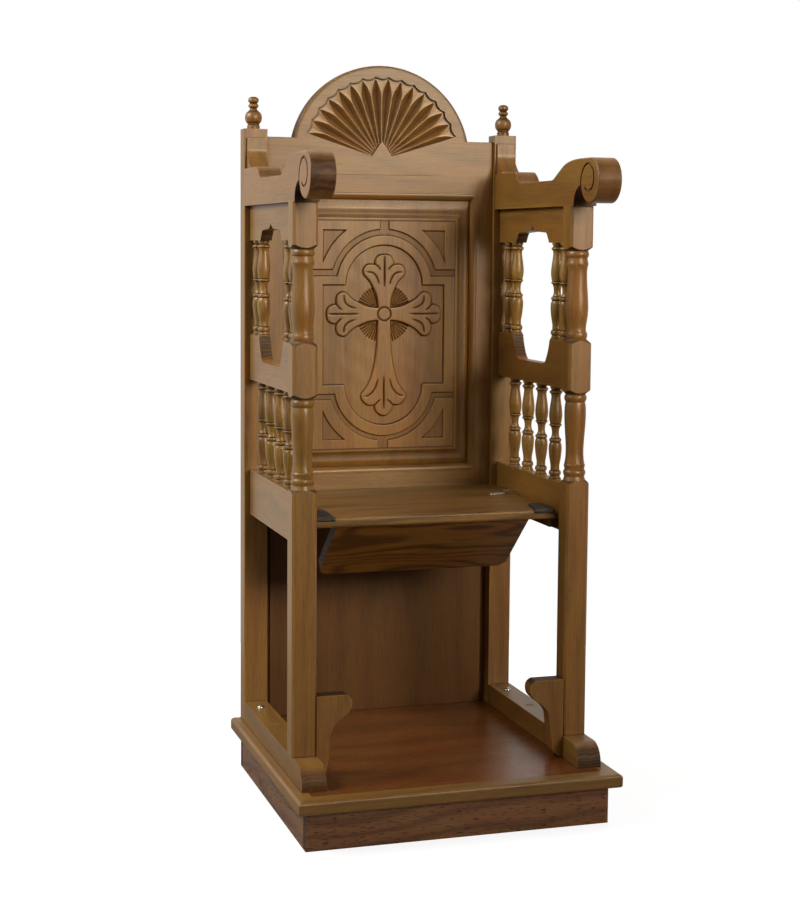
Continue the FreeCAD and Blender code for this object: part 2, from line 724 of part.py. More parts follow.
def back_frame():
    half, low, high = sight()
    top = cross_rail(ARRIS_HIGH, high, CREST_SEAM, -1, ARRIS_HIGH, CREST_SEAM)
    save("top_rail", top.cut(crest_tongue()))
    save("bottom_rail", cross_rail(ARRIS_LOW, low, BACK_BOTTOM, 1, BACK_BOTTOM, ARRIS_LOW))
    save_pair("stile", stile())
    dowels = [dowel(z) for z in DOWEL_Z]
    save("back_dowels", Part.makeCompound(dowels + [mirrored(d) for d in dowels]))


def raised_margin(place, low, high, field, run):
    """Cross-section of the raised panel: bevel, cove and fillet up to the field."""
    back = BACK_FRONT + OVOLO_DEEP + TONGUE

    def side(edge, end, way):
        """Bevel foot, bevel top, hollow of the cove, fillet foot, fillet, field edge."""
        steps = (end - way * (FILLET + COVE), end - way * (FILLET + 0.55 * COVE),
                 end - way * FILLET, end - way * FILLET, end)
        depths = (COVE_RIM, COVE_DEEP, COVE_DEEP - 4.5, FILLET_DEEP, FILLET_DEEP)
        rows = [(edge, BACK_FRONT + OVOLO_DEEP)]
        return rows + [(s, BACK_FRONT + d) for s, d in zip(steps, depths)]
    rise, fall = side(low, field[0], 1), side(high, field[1], -1)
    o = Outline(place, (low, back)).line(rise[0], rise[1]).arc(rise[2], rise[3])
    o.line(rise[4], rise[5], (rise[5][0], BACK_FRONT), (fall[5][0], BACK_FRONT), fall[5])
    o.line(fall[4], fall[3]).arc(fall[2], fall[1]).line(fall[0], (high, back))
    return o.face().extrude(run)


def carved(u0, u1, v0, v1, depth):
    """Rectangle of the panel face sunk to a depth."""
    return box(CROSS_X + u0, CROSS_X + u1, BACK_FRONT - 1.0, BACK_FRONT + depth,
               CROSS_Z + v0, CROSS_Z + v1)


def carved_disc(v, radius, depth):
    return rod(radius, depth + 1.0, (CROSS_X, BACK_FRONT - 1.0, CROSS_Z + v), (0, 1, 0))


def cross_arm(rows, turn):
    """One arm of the cross; rows run along the arm: flare from the neck to the side lobe,
    the lobe's bow, the notch, then the bow and the tip of the middle lobe."""
    neck, *flare = rows[:6]
    lobe, lobe_bow, notch, tip_bow, tip = rows[5:]
    angle = math.radians(turn)

    def place(along, across):
        u = along * math.sin(angle) + across * math.cos(angle)
        v = along * math.cos(angle) - across * math.sin(angle)
        return V(CROSS_X + u, BACK_FRONT - 1.0, CROSS_Z + v)

    def flip(row):
        return row[0], -row[1]
    back = [flip(row) for row in reversed(flare[:-1])]
    o = Outline(place, (0.0, neck[1])).line(neck).curve(flare).arc(lobe_bow, notch)
    o.arc(tip_bow, tip).arc(flip(tip_bow), flip(notch)).arc(flip(lobe_bow), flip(lobe))
    o.curve(back + [flip(neck)]).line((0.0, -neck[1]))
    return o.face().extrude(V(0, SUNK + 1.0, 0))


def cross():
    short = ((27.0, 15.0), (44.0, 19.0), (61.0, 26.8), (74.0, 34.2), (84.0, 43.8),
             (91.0, 49.0), (110.0, 43.5), (110.8, 20.5), (128.3, 15.8), (134.8, 0.0))
    long = ((27.0, 15.0), (82.0, 17.5), (123.5, 24.0), (146.5, 30.3), (168.5, 41.5),
            (182.5, 52.0), (203.0, 44.5), (206.0, 21.5), (225.5, 14.5), (231.5, 0.0))
    arms = [cross_arm(short, turn) for turn in (0, 90, 270)] + [cross_arm(long, 180)]
    return arms[0].fuse(arms[1:])


def channel(centre, arcs, levels, way):
    """Groove round an arch and out to both edges of the field; way is +1 up, -1 down."""
    near, far = (levels[0], levels[1]) if way > 0 else (levels[1], levels[0])
    beyond = way * 100.0

    def strip(level):
        v0, v1 = sorted((centre - beyond, level))
        return carved(-FIELD_HALF, FIELD_HALF, v0, v1, CHANNEL_DEEP)
    outer = strip(far).fuse(carved_disc(centre, arcs[2], CHANNEL_DEEP))
    inner = strip(near).fuse(carved_disc(centre, arcs[1], CHANNEL_DEEP + 1.0))
    edge_v = (FIELD_HIGH if way > 0 else FIELD_LOW) - CROSS_Z
    v0, v1 = sorted((centre + way * arcs[1], edge_v))
    slot = carved(-SLOT_HALF, SLOT_HALF, v0 - 1.0, v1 + 1.0, CHANNEL_DEEP)
    return outer.fuse(slot).cut(inner)


def spandrels(centre, radius, edge_v):
    """Two sunk corner triangles with a hollow long side."""
    v0, v1 = sorted((centre, edge_v))
    both = carved(-SIDE_U, SIDE_U, v0, v1, CHANNEL_DEEP)
    return both.cut(carved_disc(centre, radius, CHANNEL_DEEP + 1.0))


def raised_panel():
    half, low, high = sight()
    across = raised_margin(plan_view(low), -half, half,
                           (CROSS_X - FIELD_HALF, CROSS_X + FIELD_HALF), V(0, 0, high - low))
    up = raised_margin(lambda z, y: V(-half, y, z), low, high, (FIELD_LOW, FIELD_HIGH),
                       V(2 * half, 0, 0))
    panel = across.common(up).fuse(panel_tongue(0.0))
    ground = carved(-SIDE_U, SIDE_U, LOWER_ARC_V, UPPER_ARC_V, SUNK)
    ground = ground.fuse([carved_disc(UPPER_ARC_V, UPPER_ARCS[0], SUNK),
                          carved_disc(LOWER_ARC_V, LOWER_ARCS[0], SUNK)]).cut(cross())
    waste = [ground,
             channel(UPPER_ARC_V, UPPER_ARCS, UPPER_CHANNEL_V, 1),
             channel(LOWER_ARC_V, LOWER_ARCS, LOWER_CHANNEL_V, -1),
             spandrels(UPPER_ARC_V, UPPER_ARCS[3], SPANDREL_TOP_V),
             spandrels(LOWER_ARC_V, LOWER_ARCS[3], SPANDREL_LOW_V)]
    return panel.cut(waste)


# --- crest board --------------------------------------------------------------

def fan_point(radius, degrees):
    angle = math.radians(degrees)
    return radius * math.cos(angle), FAN_Z + radius * math.sin(angle)


def fan_recess():
    """Sunk fan with a scalloped rim and a pointed notch at its foot."""
    tip_x, tip_z = FAN_TIP
    o = Outline(front_view(BACK_FRONT - 1.0), (0.0, FAN_Z + FAN_NOTCH))
    o.line((tip_x, FAN_Z + tip_z), fan_point(FAN_RADIUS, FAN_FIRST))
    for i in range(1, FAN_CUSPS):
        end = FAN_FIRST + i * FAN_STEP
        o.arc(fan_point(FAN_RADIUS - 5.5, end - FAN_STEP / 2), fan_point(FAN_RADIUS, end))
    o.line((-tip_x, FAN_Z + tip_z))
    return o.face().extrude(V(0, FAN_DEEP + 1.0, 0))


def flute(degrees):
    """V groove along one ray of the fan, pointed at both ends."""
    floor = BACK_FRONT + FAN_DEEP
    base = V(0, floor - 1.0, 0)
    inner, outer, middle = 40.0, FAN_RADIUS - 4.0, 125.0
    rim = [V(inner, floor - 1.0, 0), V(middle, floor - 1.0, -FLUTE_HALF),
           V(outer, floor - 1.0, 0), V(middle, floor - 1.0, FLUTE_HALF)]
    apex = V(middle, floor + FLUTE_DEEP, 0)
    faces = [Part.Face(Part.makePolygon(rim + [rim[0]]))]
    for i in range(4):
        faces.append(Part.Face(Part.makePolygon([rim[i], rim[(i + 1) % 4], apex, rim[i]])))
    solid = Part.makeSolid(Part.makeShell(faces))
    solid.rotate(base, V(0, -1, 0), degrees)
    solid.translate(V(0, 0, FAN_Z))
    return solid


def crest_board():
    half, r = BACK_HALF, ARCH_RADIUS
    meet = math.sqrt(r * r - (SHOULDER_Z - ARCH_Z) ** 2)
    o = Outline(front_view(BACK_FRONT), (-half, CREST_SEAM))
    o.line((half, CREST_SEAM), (half, SHOULDER_Z), (meet, SHOULDER_Z))
    o.arc((0.0, ARCH_Z + r), (-meet, SHOULDER_Z)).line((-half, SHOULDER_Z))
    body = o.face().extrude(V(0, BACK_THICK, 0))
    top = ARCH_Z + r * 0.5

    def arch_arris(c):
        return c.z > top and c.y < BACK_FRONT + 1.0
    body = body.makeFillet(CREST_ROUND, edges_where(body, arch_arris))
    flutes = [flute(FAN_FIRST + i * FAN_STEP) for i in range(1, FAN_CUSPS - 1)]
    return body.cut([fan_recess()] + flutes).fuse(crest_tongue())


# --- lower back and foot brackets ---------------------------------------------

def lower_back():
    save("lower_back_panel", box(-LOWER_PANEL_HALF, LOWER_PANEL_HALF, LOWER_PANEL_FRONT,
                                 LOWER_PANEL_BACK, PLATFORM_TOP, BACK_BOTTOM))
    save_pair("back_batten", box(BATTEN_IN, REAR_POST_IN, LOWER_PANEL_BACK,
                                 PLATFORM_HALF_Y, PLATFORM_TOP, BACK_BOTTOM))


def foot_bracket():
    o = Outline(front_view(FOOT_FRONT), (RUNNER_IN, PLATFORM_TOP))
    o.line((RUNNER_IN, FOOT_TOP), (206.0, FOOT_TOP)).curve([(196.0, 268.0), (193.0, 254.0)])
    o.curve([(200.0, 238.0), (213.0, 227.0), (230.0, 211.0), (237.0, 193.0)])
    o.curve([(239.0, 172.0), (243.0, 135.0), (248.0, 119.0), (257.0, 112.0)])
    o.line((262.0, PLATFORM_TOP))
    return o.face().extrude(V(0, FOOT_BACK - FOOT_FRONT, 0))


# --- seat stops ---------------------------------------------------------------

def cleat_screws():
    """Right-hand countersunk screws through the cleat into the rail."""
    middle = (CLEAT_Z[0] + CLEAT_Z[1]) / 2
    screws = []
    for y in CLEAT_SCREW_Y:
        shank = rod(CLEAT_SCREW_RADIUS, CLEAT_SCREW_TIP - CLEAT_IN, (CLEAT_IN, y, middle),
                    (1, 0, 0))
        head = Part.makeCone(CLEAT_HEAD_RADIUS, CLEAT_SCREW_RADIUS, CLEAT_HEAD_DEEP,
                             V(CLEAT_IN, y, middle), V(1, 0, 0))
        screws.append(shank.fuse(head))
    return screws


def seat_stops():
    cleat = box(CLEAT_IN, RAIL_IN, *CLEAT_Y, *CLEAT_Z)
    save_pair("seat_cleat", cleat.cut(cleat_screws()))
    screws = cleat_screws()
    save("cleat_screws", Part.makeCompound(screws + [mirrored(s) for s in screws]))


# --- tip-up seat --------------------------------------------------------------

def rounded_path(points, radius):
    """Wire through points with every inner corner bent to a radius."""
    knots = [V(x, y, PIVOT_Z) for x, y in points]
    edges = []
    here = knots[0]
    for i in range(1, len(knots) - 1):
        before = (knots[i - 1] - knots[i]).normalize()
        after = (knots[i + 1] - knots[i]).normalize()
        half = before.getAngle(after) / 2
        reach = radius / math.tan(half)
        middle = (before + after).normalize() * (radius / math.sin(half) - radius)
        start = knots[i] + before * reach
        end = knots[i] + after * reach
        edges.append(Part.makeLine(here, start))
        edges.append(Part.Arc(start, knots[i] + middle, end).toShape())
        here = end
    edges.append(Part.makeLine(here, knots[-1]))
    return Part.Wire(edges)


def hinge_rod():
    """Cranked rod: a pin outside the seat, the rest half sunk in its top."""
    path = rounded_path(ROD_PATH, ROD_BEND)
    start = V(ROD_PATH[0][0], ROD_PATH[0][1], PIVOT_Z)
    ring = Part.Wire(Part.makeCircle(ROD_RADIUS, start, V(1, 0, 0)))
    return path.makePipeShell([ring], True, True)


def rod_socket():
    """Blind hole in the seat rail, with running play round the pin."""
    base = (RAIL_IN - 1.0, PIVOT_Y, PIVOT_Z)
    return rod(ROD_RADIUS + ROD_PLAY, ROD_PATH[0][0] + 1.5 - RAIL_IN, base, (1, 0, 0))


def seat_plan():
    """Right and left halves in one outline: narrower in front, round back corners."""
    hf, hb = SEAT_HALF_FRONT, SEAT_HALF_BACK
    r = SEAT_CORNER
    bow = r * (1 - math.sqrt(0.5))
    y0, y1 = SEAT_SHOULDER_Y
    o = Outline(plan_view(SEAT_TOP - SEAT_THICK), (-hf, SEAT_FRONT))
    o.line((hf, SEAT_FRONT), (hf, y0)).line((hb, y1), (hb, SEAT_BACK - r))
    o.arc((hb - bow, SEAT_BACK - bow), (hb - r, SEAT_BACK)).line((r - hb, SEAT_BACK))
    o.arc((bow - hb, SEAT_BACK - bow), (-hb, SEAT_BACK - r)).line((-hb, y1), (-hf, y0))
    return o.face().extrude(V(0, 0, SEAT_THICK))


def seat_boards():
    whole = seat_plan()

    def nose(c):
        return abs(c.y - SEAT_FRONT) < 0.1 and abs(c.x) < 1.0
    whole = whole.makeFillet(SEAT_NOSE, edges_where(whole, nose))
    whole = whole.cut([hinge_rod(), mirrored(hinge_rod())])
    front = box(-FAR, FAR, -FAR, SEAT_JOINT_Y, 0, FAR)
    save("seat_board_front", whole.common(front))
    save("seat_board_rear", whole.cut(front))


def perch_board():
    """Sloping board under the seat; its upper edge is bevelled to the seat."""
    z0 = SEAT_TOP - SEAT_THICK
    low_y, low_z = PERCH_LOW
    run, drop = low_y - PERCH_TOP_Y, z0 - low_z
    length = math.hypot(run, drop)
    step_y, step_z = PERCH_THICK * drop / length, PERCH_THICK * run / length
    top_y = PERCH_TOP_Y + PERCH_THICK * length / drop
    points = ((PERCH_TOP_Y, z0), PERCH_LOW, (low_y + step_y, low_z + step_z), (top_y, z0))
    board = polygon(side_view(-PERCH_HALF), points).extrude(V(2 * PERCH_HALF, 0, 0))
    mid_z = low_z + step_z / 2

    def corner(c):
        return abs(abs(c.x) - PERCH_HALF) < 0.1 and abs(c.z - mid_z) < 0.1
    return board.makeFillet(PERCH_CORNER, edges_where(board, corner)), points


def perch_bracket(points):
    """Triangular bracket between the perch board and the seat."""
    z0 = SEAT_TOP - SEAT_THICK
    top, low = points[3], points[2]
    share = 0.86
    foot = (top[0] + share * (low[0] - top[0]), z0 + share * (low[1] - z0))
    shape = (top, foot, (BRACKET_BACK_Y, z0 - 14.0), (BRACKET_BACK_Y, z0))
    return polygon(side_view(BRACKET_X[0]), shape).extrude(V(BRACKET_X[1] - BRACKET_X[0], 0, 0))


def pad():
    """Pad over the front corner of the seat with a lip down its front edge."""
    plate = polygon(plan_view(SEAT_TOP), PAD_PLAN).extrude(V(0, 0, PAD_THICK))
    lip = box(PAD_PLAN[4][0], PAD_PLAN[3][0], SEAT_FRONT - PAD_THICK, SEAT_FRONT,
              SEAT_TOP - PAD_LIP, SEAT_TOP + PAD_THICK)

    def nose(c):
        return c.y < SEAT_FRONT - PAD_THICK + 0.1 and c.z > SEAT_TOP + PAD_THICK - 0.1
    body = plate.fuse(lip).removeSplitter()
    return body.makeFillet(PAD_THICK - 1.0, edges_where(body, nose))


def seat():
    seat_boards()
    board, points = perch_board()
    save("perch_board", board)
    save_pair("perch_bracket", perch_bracket(points))
    save_pair("hinge_rod", hinge_rod())
    save_pair("seat_pad", pad())


# --- the whole stall ----------------------------------------------------------

plinth()
platform()
runners()
save_pair("front_post", front_post())
save_pair("rear_post", rear_post())
save_pair("finial", finial())
side_panels()
save_pair("arm", arm())
save_pair("ogee_bracket", ogee_bracket())
back_frame()
save("raised_panel", raised_panel())
save("crest_board", crest_board())
lower_back()
save_pair("foot_bracket", foot_bracket())
seat_stops()
seat()
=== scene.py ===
# %% [markdown]
# # A choir stall, from bare timber to lacquer
#
# The stall arrives as joined timber: every board, post and baluster already has its true
# size and place.  This lesson dresses it.  It stains and lacquers each piece along its own
# grain, softens the sharp arrises the way a cabinetmaker's sandpaper does, carves the panel
# with the cross and the fan of the crest, and turns the balusters and finials.  +Z is up and
# the sitter faces -Y.  The room, the lights and the finishes are measured in metres; carved
# and turned shapes are drawn in millimetres, as on the bench, and become metres when their
# mesh is made.

# %% Load the joined timber
import json
import math

import bpy
import numpy as np
from mathutils import Matrix, Vector


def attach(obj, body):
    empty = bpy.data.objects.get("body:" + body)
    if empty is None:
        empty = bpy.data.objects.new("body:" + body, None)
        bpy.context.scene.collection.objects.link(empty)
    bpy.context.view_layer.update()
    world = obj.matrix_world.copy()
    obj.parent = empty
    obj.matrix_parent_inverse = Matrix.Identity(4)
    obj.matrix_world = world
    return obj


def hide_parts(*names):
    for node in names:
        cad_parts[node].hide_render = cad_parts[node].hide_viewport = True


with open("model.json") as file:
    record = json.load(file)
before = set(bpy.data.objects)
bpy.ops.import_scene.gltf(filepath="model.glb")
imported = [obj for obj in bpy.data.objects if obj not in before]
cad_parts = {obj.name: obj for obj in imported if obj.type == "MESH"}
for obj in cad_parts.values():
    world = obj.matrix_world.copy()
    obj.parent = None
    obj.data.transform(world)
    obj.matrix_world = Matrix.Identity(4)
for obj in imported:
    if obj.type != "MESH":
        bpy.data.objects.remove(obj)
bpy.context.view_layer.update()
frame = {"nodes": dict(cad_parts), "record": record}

nodes = frame["nodes"]
MM = 0.001
print("pieces of timber and hardware:", len(nodes))

# %% [markdown]
# ## The camera
#
# A long lens stands a little to the left of the stall, at chest height, and looks slightly
# down.  The picture is taller than wide, and Blender measures the sensor along the long
# side, so the focal length in picture points is turned into millimetres with the height.
# A small shift lifts the stall in the frame without tipping its upright lines.

# %% Place the camera
PICTURE = (800, 900)                 # width and height in picture points
FOCAL = 1744.3                       # focal length in picture points
LENS_AXIS = (400.0, 400.0)           # where the lens axis meets the picture
SENSOR = 36.0
EYE = Vector((-1.137, -3.500, 1.179))
YAW, PITCH, ROLL = (math.radians(a) for a in (17.353, 5.067, 0.45))


def aim(eye, yaw, pitch, roll):
    """Camera matrix: yaw turns the view from +Y towards +X, pitch tips it down, and roll
    turns the picture about the lens axis."""
    ahead = Vector((math.sin(yaw) * math.cos(pitch), math.cos(yaw) * math.cos(pitch),
                    -math.sin(pitch)))
    right = Vector((math.cos(yaw), -math.sin(yaw), 0.0))
    up = right.cross(ahead)
    across = math.cos(roll) * right + math.sin(roll) * up
    upward = -math.sin(roll) * right + math.cos(roll) * up
    matrix = Matrix((across, upward, -ahead)).transposed().to_4x4()
    matrix.translation = eye
    return matrix


def show(obj):
    """Puts a new object into the scene."""
    bpy.context.scene.collection.objects.link(obj)
    return obj


lens = bpy.data.cameras.new("long_lens")
lens.sensor_width = SENSOR
lens.lens = SENSOR * FOCAL / PICTURE[1]
lens.shift_y = (LENS_AXIS[1] - PICTURE[1] / 2) / PICTURE[1]
camera = show(bpy.data.objects.new("camera", lens))
camera.matrix_world = aim(EYE, YAW, PITCH, ROLL)
bpy.context.scene.camera = camera
print(f"lens {lens.lens:.1f} mm, shift {lens.shift_y:.4f}")

# %% [markdown]
# ## Small helpers for shader nodes
#
# Every finish below is a small network.  A few helpers keep the networks short: they make a
# node and fill its inputs, do a sum, ease one value into another, mix two colours, draw
# streaks of noise and start a material.

# %% Shader helpers
def add(tree, kind, values=(), **settings):
    """New node: settings are its attributes, and values fill its inputs by name or number.
    A value that is another node's output is linked instead."""
    node = tree.nodes.new(kind)
    for key, value in settings.items():
        setattr(node, key, value)
    for key, value in dict(values).items():
        if isinstance(value, bpy.types.NodeSocket):
            tree.links.new(value, node.inputs[key])
        else:
            node.inputs[key].default_value = value
    return node


def sum_of(tree, op, *values, clamp=False):
    """One step of arithmetic on numbers; MULTIPLY_ADD is first x second + third."""
    return add(tree, "ShaderNodeMath", enumerate(values), operation=op,
               use_clamp=clamp).outputs[0]


def vector_of(tree, op, *values):
    """The same on vectors."""
    return add(tree, "ShaderNodeVectorMath", enumerate(values), operation=op).outputs[0]


def ease(tree, value, start, end, low=0.0, high=1.0):
    """Smooth step from low to high while value goes from start to end."""
    return add(tree, "ShaderNodeMapRange",
               {"Value": value, "From Min": start, "From Max": end, "To Min": low,
                "To Max": high}, interpolation_type="SMOOTHSTEP").outputs[0]


FACTOR, FIRST, SECOND = 0, 6, 7      # the colour sockets of a Mix node
BLENDED = 2                          # and its colour output


def blend_colour(tree, factor, first, second, how="MIX"):
    """First colour at factor 0, second at 1, or the two multiplied."""
    node = add(tree, "ShaderNodeMix", data_type="RGBA", blend_type=how)
    for place, value in ((FACTOR, factor), (FIRST, first), (SECOND, second)):
        if isinstance(value, bpy.types.NodeSocket):
            tree.links.new(value, node.inputs[place])
        else:
            node.inputs[place].default_value = value
    return node.outputs[BLENDED]


def streaks(tree, vector, scale, detail=2.0, roughness=0.5, distortion=0.0):
    """Noise on coordinates multiplied by a scale per axis: a small third number makes marks
    that are long in Z."""
    scaled = vector_of(tree, "MULTIPLY", vector, scale)
    return add(tree, "ShaderNodeTexNoise",
               {"Vector": scaled, "Scale": 1.0, "Detail": detail, "Roughness": roughness,
                "Distortion": distortion}).outputs["Fac"]


def new_material(name, colour, roughness):
    """Material with its node tree and its shader, in a plain colour to start from."""
    material = bpy.data.materials.new(name)
    material.use_nodes = True
    shader = material.node_tree.nodes["Principled BSDF"]
    shader.inputs["Base Color"].default_value = (*colour, 1.0)
    shader.inputs["Roughness"].default_value = roughness
    return material, material.node_tree, shader


print("helpers ready")

# %% [markdown]
# ## The floor
#
# The stall stands on a round pale sheet.  It could be a large plane, but a plane would show
# its far edge.  This one shines for the camera only, a little short of white, and its rim
# melts into the white of the room, so only the soft shadow at the stall's foot is left of it.

# %% Pale floor
FLOOR_RADIUS, WHITE_FROM = 1.5, 0.75
FLOOR_GREY, FLOOR_ROUGH = (0.24, 0.24, 0.238), 0.6
FLOOR_GLOW = (0.87, 0.87, 0.88, 1.0)
WHITE = (1.0, 1.0, 1.0, 1.0)


def round_floor(radius, rings=12, spokes=96):
    """Disc on the ground: point (i, j) is at radius r_i and angle a_j."""
    angle = np.linspace(0.0, 2.0 * np.pi, spokes, endpoint=False)
    r = np.linspace(0.0, radius, rings + 1)[1:, None]
    points = np.stack([r * np.cos(angle), r * np.sin(angle), 0.0 * r * angle], -1)
    index = np.arange(rings * spokes).reshape(rings, spokes)
    after = np.roll(index, -1, axis=1)
    quads = np.stack([index[:-1], index[1:], after[1:], after[:-1]], -1).reshape(-1, 4)
    mesh = bpy.data.meshes.new("floor")
    mesh.from_pydata(points.reshape(-1, 3).tolist(), [], quads.tolist() + [index[0].tolist()])
    return show(bpy.data.objects.new("floor", mesh))


floor = round_floor(FLOOR_RADIUS)
paper, tree, shader = new_material("pale_floor", FLOOR_GREY, FLOOR_ROUGH)
here = add(tree, "ShaderNodeTexCoord").outputs["Object"]
away = add(tree, "ShaderNodeVectorMath", {0: here}, operation="LENGTH").outputs["Value"]
rim = ease(tree, away, WHITE_FROM, FLOOR_RADIUS)
tree.links.new(blend_colour(tree, rim, FLOOR_GLOW, WHITE), shader.inputs["Emission Color"])
seen = add(tree, "ShaderNodeLightPath").outputs["Is Camera Ray"]
tree.links.new(seen, shader.inputs["Emission Strength"])
floor.data.materials.append(paper)
print("floor across:", 2 * FLOOR_RADIUS)

# %% [markdown]
# ## Room and light
#
# Lacquered wood shows what stands around it.  The room is white behind the stall and at its
# sides, which gives the pale sheen on every face seen at a low angle, and dim in front, so
# the lower fronts stay deep in colour.  Two soft boxes hang higher than the stall: a strong
# pale one at the left side, which rakes across the back frame, and a weak warm one in front
# to the right.  The front one has a narrow beam, so that it lights the carving and leaves
# the foot of the stall in shade.

# %% White room and soft boxes
BEHIND, FRONT_HIGH, FRONT_LOW = 0.62, 0.20, 0.015     # brightness of the room's parts
RISE = (-0.02, 0.30)                 # upward share of a view over which the front brightens
FLANK = (-0.15, 0.35)                # backward share over which it becomes the wall behind
ROOM_TINT = (1.0, 0.95, 0.88, 1.0)
world = bpy.data.worlds.new("white_room")
world.use_nodes = True
bpy.context.scene.world = world
sky = world.node_tree
toward = add(sky, "ShaderNodeTexCoord").outputs["Generated"]
parts = add(sky, "ShaderNodeSeparateXYZ", {0: toward}).outputs
front = ease(sky, parts["Z"], *RISE, FRONT_LOW, FRONT_HIGH)
room = ease(sky, parts["Y"], *FLANK, front, BEHIND)
seen = add(sky, "ShaderNodeLightPath").outputs["Is Camera Ray"]
room = ease(sky, seen, 0.0, 1.0, room, 1.0)
backdrop = sky.nodes["Background"].inputs
sky.links.new(room, backdrop["Strength"])
sky.links.new(blend_colour(sky, seen, ROOM_TINT, WHITE), backdrop["Color"])
bpy.context.scene.view_settings.view_transform = "Standard"


def soft_box(name, place, target, size, watts, spread, colour):
    """Square light turned from its place to a target, its beam spread degrees wide."""
    light = bpy.data.lights.new(name, "AREA")
    light.shape = "RECTANGLE"
    light.size, light.size_y = size, size
    light.energy, light.color = watts, colour
    light.spread = math.radians(spread)
    obj = show(bpy.data.objects.new(name, light))
    turn = (Vector(target) - Vector(place)).to_track_quat("-Z", "Y")
    obj.matrix_world = Matrix.Translation(place) @ turn.to_matrix().to_4x4()
    return obj


soft_box("key_left", place=(-2.6, 0.1, 2.7), target=(-0.3, 0.1, 0.95), size=1.2, watts=34.0,
         spread=120.0, colour=(0.97, 0.97, 0.92))
soft_box("wide_right", place=(1.25, -3.4, 2.15), target=(0.0, 0.0, 1.20), size=1.7, watts=9.4,
         spread=42.0, colour=(1.0, 0.86, 0.64))
print("lights:", len(bpy.data.lights))

# %% [markdown]
# ## Grain
#
# The frame is a pale hardwood stained golden brown.  Up close it has three things at three
# sizes: broad rings some centimetres wide, fine streaks, and pores, short dark dashes along
# the grain.  All three are long in one direction, so the group squeezes the coordinates
# along Z before it asks for noise.  A slow last noise shifts the hue in patches towards
# yellow or red, as the stain took better here than there.  Painted pictures of wood could do
# the same, but they repeat and smear over the edges; noise in space runs through the board
# like real grain.  The same group serves every finish; only its colours and amounts change,
# and each board turns and moves the pattern with a Mapping node.

# %% Wood grain group
def inputs_of(tree, **sockets):
    """Names the group's inputs; a number is a value, three numbers a vector and four a
    colour."""
    kinds = {1: "NodeSocketFloat", 3: "NodeSocketVector", 4: "NodeSocketColor"}
    for name, default in sockets.items():
        count = len(default) if hasattr(default, "__len__") else 1
        item = tree.interface.new_socket(name=name.replace("_", " "), in_out="INPUT",
                                         socket_type=kinds[count])
        item.default_value = default
    return tree.nodes.new("NodeGroupInput").outputs


def outputs_of(tree, **results):
    """Names the group's outputs and joins each to what makes it."""
    kinds = {"VALUE": "NodeSocketFloat", "RGBA": "NodeSocketColor",
             "VECTOR": "NodeSocketVector"}
    for name, made in results.items():
        tree.interface.new_socket(name=name, in_out="OUTPUT", socket_type=kinds[made.type])
    end = tree.nodes.new("NodeGroupOutput")
    for name, made in results.items():
        tree.links.new(made, end.inputs[name])


YELLOWER, REDDER = (0.98, 1.08, 1.02, 1.0), (1.02, 0.95, 0.92, 1.0)
# Noise waves per metre across the grain (twice) and along it
DRIFT, CLOUD, PATCH = (5.0, 5.0, 1.3), (9.0, 9.0, 2.2), (16.0, 16.0, 3.0)
STREAK, DASH, FINE = (330.0, 330.0, 8.0), (850.0, 850.0, 30.0), (1400.0, 1400.0, 45.0)
RING_TILT, RING_BEND = 0.45, 0.22    # slant of the ring planes, and how far drift bends them
PORE_START, PORE_FULL = 0.58, 0.70   # noise levels between which a dash becomes a pore


